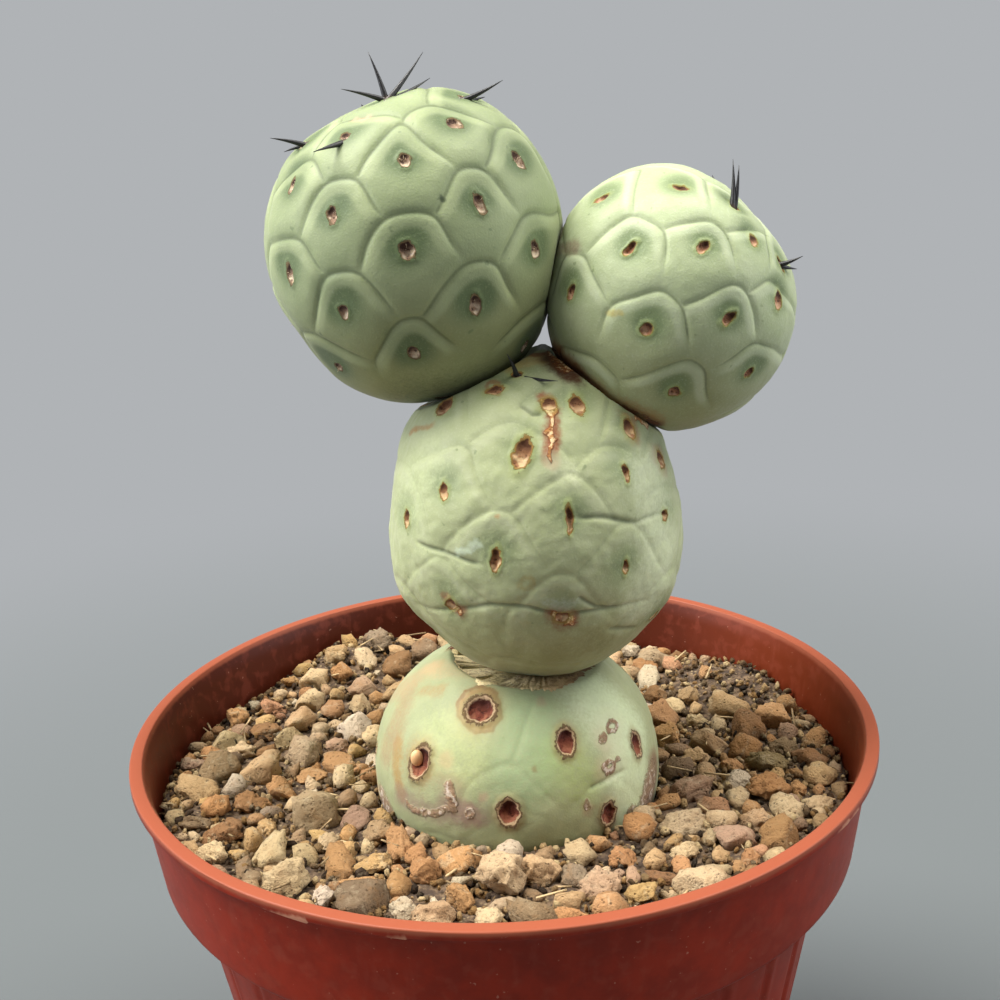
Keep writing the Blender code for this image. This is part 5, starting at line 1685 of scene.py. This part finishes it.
def bed_mesh():
    """A closed slab between the plant and the wall; its top follows the bed's height."""
    turns = np.linspace(0, 2 * math.pi, BED_SIDES, endpoint=False)
    around = np.stack((np.cos(turns), np.sin(turns)), axis=-1)
    inner = BASE.centre[:2] + around * (BASE.half_width + 0.05 * MM)
    outer_edge = around * (wall_radius() - 0.2 * MM)
    rings = []
    for share in np.linspace(0, 1, BED_STEPS):
        flat = inner + (outer_edge - inner) * share
        level = [bed_height(spot) + 0.5 * MM * noise.fractal(Vector((*spot, 0)) / (3 * MM), 0.7, 2, 4)
                 for spot in flat]
        rings.append(np.column_stack((flat, level)))
    for rim in (rings[-1], rings[0]):
        low = rim.copy()
        low[:, 2] = SOIL_TOP + GAP
        rings.append(low)
    return np.concatenate(rings), ring_faces(len(rings), BED_SIDES)


points, faces = bed_mesh()
# the bed's dark colours are partly dark crumbs and partly painted shade between the stones
fines = potting_soil("dusty_fines", "#44352a", "#7b644c", "#9c8867")
bed = add_piece("gravel_bed", points, faces, fines)
stand_for("gravel")

# %% Chips and fines
# the darkest chip colours are partly dark crumbs and partly painted shade between the stones
CHIP_COLOURS = ("#3d3025", "#806848", "#54432f", "#a88b62", "#6e5a42", "#bfa67c", "#2c231b", "#8a6a42")
tree, given = new_tree("strew_chips", {"Density": 1.0, "Smallest": 0.3, "Largest": 1.2, "Seed": 0})
chip = add(tree, "GeometryNodeMeshIcoSphere", {"Radius": 1.0, "Subdivisions": 1})
crumple = add(tree, "ShaderNodeTexNoise", {"Scale": 1.3}, noise_dimensions="3D").outputs["Color"]
centred = add(tree, "ShaderNodeVectorMath", {0: crumple, 1: (0.5,) * 3}, operation="SUBTRACT")
lumpy = add(tree, "GeometryNodeSetPosition", {"Geometry": chip, "Offset": centred})
spin = add(tree, "FunctionNodeRandomValue", {"Min": (0, 0, 0), "Max": (6.28,) * 3, "Seed": given["Seed"]},
           data_type="FLOAT_VECTOR")
flat = add(tree, "FunctionNodeRandomValue", {"Min": (0.55, 0.4, 0.3), "Max": (1.0, 0.8, 0.6)},
           data_type="FLOAT_VECTOR")
bulk = add(tree, "FunctionNodeRandomValue", {
    2: given["Smallest"], 3: given["Largest"], "Seed": given["Seed"]}, data_type="FLOAT").outputs[1]
metres = add(tree, "ShaderNodeMath", {0: bulk, 1: MM}, operation="MULTIPLY")
scale = add(tree, "ShaderNodeVectorMath", {0: flat, "Scale": metres}, operation="SCALE")
strewn = upper_side(tree, given, 0, 0.9 * MM)
copies = add(tree, "GeometryNodeInstanceOnPoints", {"Points": strewn, "Instance": lumpy,
                                                    "Rotation": spin, "Scale": scale})
shade = add(tree, "FunctionNodeRandomValue", {2: 0.0, 3: 1.0, "Seed": 5}, data_type="FLOAT").outputs[1]
palette = add(tree, "ShaderNodeValToRGB", {0: shade})
palette.color_ramp.interpolation = "CONSTANT"
for number, code in enumerate(CHIP_COLOURS):
    stops = palette.color_ramp.elements
    stop = stops[number] if number < 2 else stops.new(number / len(CHIP_COLOURS))
    stop.position, stop.color = number / len(CHIP_COLOURS), linear(code)
tinted = add(tree, "GeometryNodeStoreNamedAttribute", {
    "Geometry": copies, "Name": "tint", "Value": palette},
    data_type="FLOAT_COLOR", domain="INSTANCE")
finish_tree(tree, tinted, pumice)
grown("gravel_fines", bed.data.copy(), tree,
      {"Density": 500000.0, "Smallest": 0.35, "Largest": 1.25, "Seed": 4})

# %% [markdown]
# A little dry litter always gathers on the gravel: bits of straw, root and bark. They are thin
# rods, laid almost flat at random.

# %% Litter
def dry_litter():
    made, tree, place = new_material("dry_straw")
    age, fibre = [add(tree, "ShaderNodeTexNoise", {"Vector": place, "Scale": 1 / size, "Detail": detail})
                  for size, detail in ((6 * MM, 2), (0.3 * MM, 3))]
    colour = coats(tree, linear("#7d6848"), ("#c0a67c", age, 0.42, 0.6, 0.9, 0.3, fibre))
    finish_material(tree, colour, fibre, 0.1 * MM, 0.5, Roughness=0.8)
    return made


tree, given = new_tree("strew_litter", {"Density": 1.0, "Seed": 0})
stalk = add(tree, "GeometryNodeMeshCylinder", {"Vertices": 5, "Side Segments": 4, "Radius": 0.13 * MM,
                                               "Depth": 1.0 * MM}, fill_type="NGON")
laid = add(tree, "FunctionNodeRandomValue", {"Min": (1.25, -0.2, 0), "Max": (1.85, 0.2, 6.28),
                                            "Seed": given["Seed"]}, data_type="FLOAT_VECTOR")
length = add(tree, "FunctionNodeRandomValue", {"Min": (0.7, 0.7, 1.5), "Max": (1.6, 1.6, 5.0),
                                              "Seed": given["Seed"]}, data_type="FLOAT_VECTOR")
strewn = upper_side(tree, given, 0.6 * MM, 2.4 * MM)
copies = add(tree, "GeometryNodeInstanceOnPoints", {"Points": strewn, "Instance": stalk,
                                                    "Rotation": laid, "Scale": length})
finish_tree(tree, copies, dry_litter())
grown("litter", bed.data.copy(), tree, {"Density": 12000.0, "Seed": 9})

# %% [markdown]
# The pot stands on a plain pale floor. Near the pot the floor takes light and shadow like any
# other surface, and further out it melts into the even grey around it, so there is no horizon.
# Two big soft lamps overhead and one at each side give the even daylight of the photograph, a
# little stronger from the left, and the grey surroundings fill the shadows.

# %% Floor, light and surroundings
BACKDROP = "#b0b3b6"
FLOOR_SIZE = 6.0
FLOOR_FADE = (0.14, 0.5)           # in metres from the pot's axis
OVERHEAD_FADE = (0.17, 0.4)        # how far up the surroundings darken, as the height of a direction
floor_material, tree, place = new_material("pale_floor")
away = add(tree, "ShaderNodeVectorMath", {0: place}, operation="LENGTH").outputs["Value"]
fade = add(tree, "ShaderNodeMapRange", {"Value": away, "From Min": FLOOR_FADE[0], "From Max": FLOOR_FADE[1]},
           interpolation_type="SMOOTHSTEP")
matt = add(tree, "ShaderNodeBsdfDiffuse", {"Color": linear("#5f6365")})
glow = add(tree, "ShaderNodeEmission", {"Color": linear(BACKDROP)})
mixed = add(tree, "ShaderNodeMixShader", {0: fade, 1: matt, 2: glow})
add(tree, "ShaderNodeOutputMaterial", {"Surface": mixed})
corners = ((-1, -1), (1, -1), (1, 1), (-1, 1))
floor_mesh = new_mesh("floor", [(x * FLOOR_SIZE, y * FLOOR_SIZE, -0.02 * MM) for x, y in corners],
                      [(0, 1, 2, 3)], {})
floor_mesh.materials.append(floor_material)
floor = placed("floor", floor_mesh)

world = bpy.data.worlds.new("surroundings")
world.use_nodes = True
tree = world.node_tree
tree.nodes.clear()
way = add(tree, "ShaderNodeTexCoord").outputs["Generated"]
rise = add(tree, "ShaderNodeSeparateXYZ", {0: way}).outputs["Z"]
overhead = add(tree, "ShaderNodeMapRange", {
    "Value": rise, "From Min": OVERHEAD_FADE[0], "From Max": OVERHEAD_FADE[1], "To Min": 1.0, "To Max": 0.1},
    interpolation_type="SMOOTHSTEP")
shade = add(tree, "ShaderNodeBackground", {"Color": linear(BACKDROP), "Strength": overhead})
add(tree, "ShaderNodeOutputWorld", {"Surface": shade})
bpy.context.scene.world = world

# A lamp is a direction, a distance and a size in metres, a power in watts, and a colour
LAMPS = (("window", (-0.5, 0.0, 0.87), 4.0, 2.8, 380, "#fffdf6"),
         ("second_window", (0.5, 0.0, 0.87), 4.0, 2.8, 180, "#fffdf6"),
         ("left_strip", (-1, -0.1, 0.35), 4.0, 2.4, 105, "#f4f8ff"),
         ("right_strip", (1, -0.1, 0.35), 4.0, 2.4, 62, "#f4f8ff"))
for name, way, distance, size, power, colour in LAMPS:
    lamp = bpy.data.lights.new(name, "AREA")
    lamp.shape, lamp.size, lamp.energy = "DISK", size, power
    lamp.color = linear(colour)[:3]
    holder = placed(name, lamp)
    holder.location = Vector(way).normalized() * distance + Vector((0, 0, 0.12))
    holder.rotation_euler = Vector(way).to_track_quat("Z", "Y").to_euler()
bpy.context.scene.view_settings.view_transform = "Standard"
print("lamps:", [name for name, *_ in LAMPS])
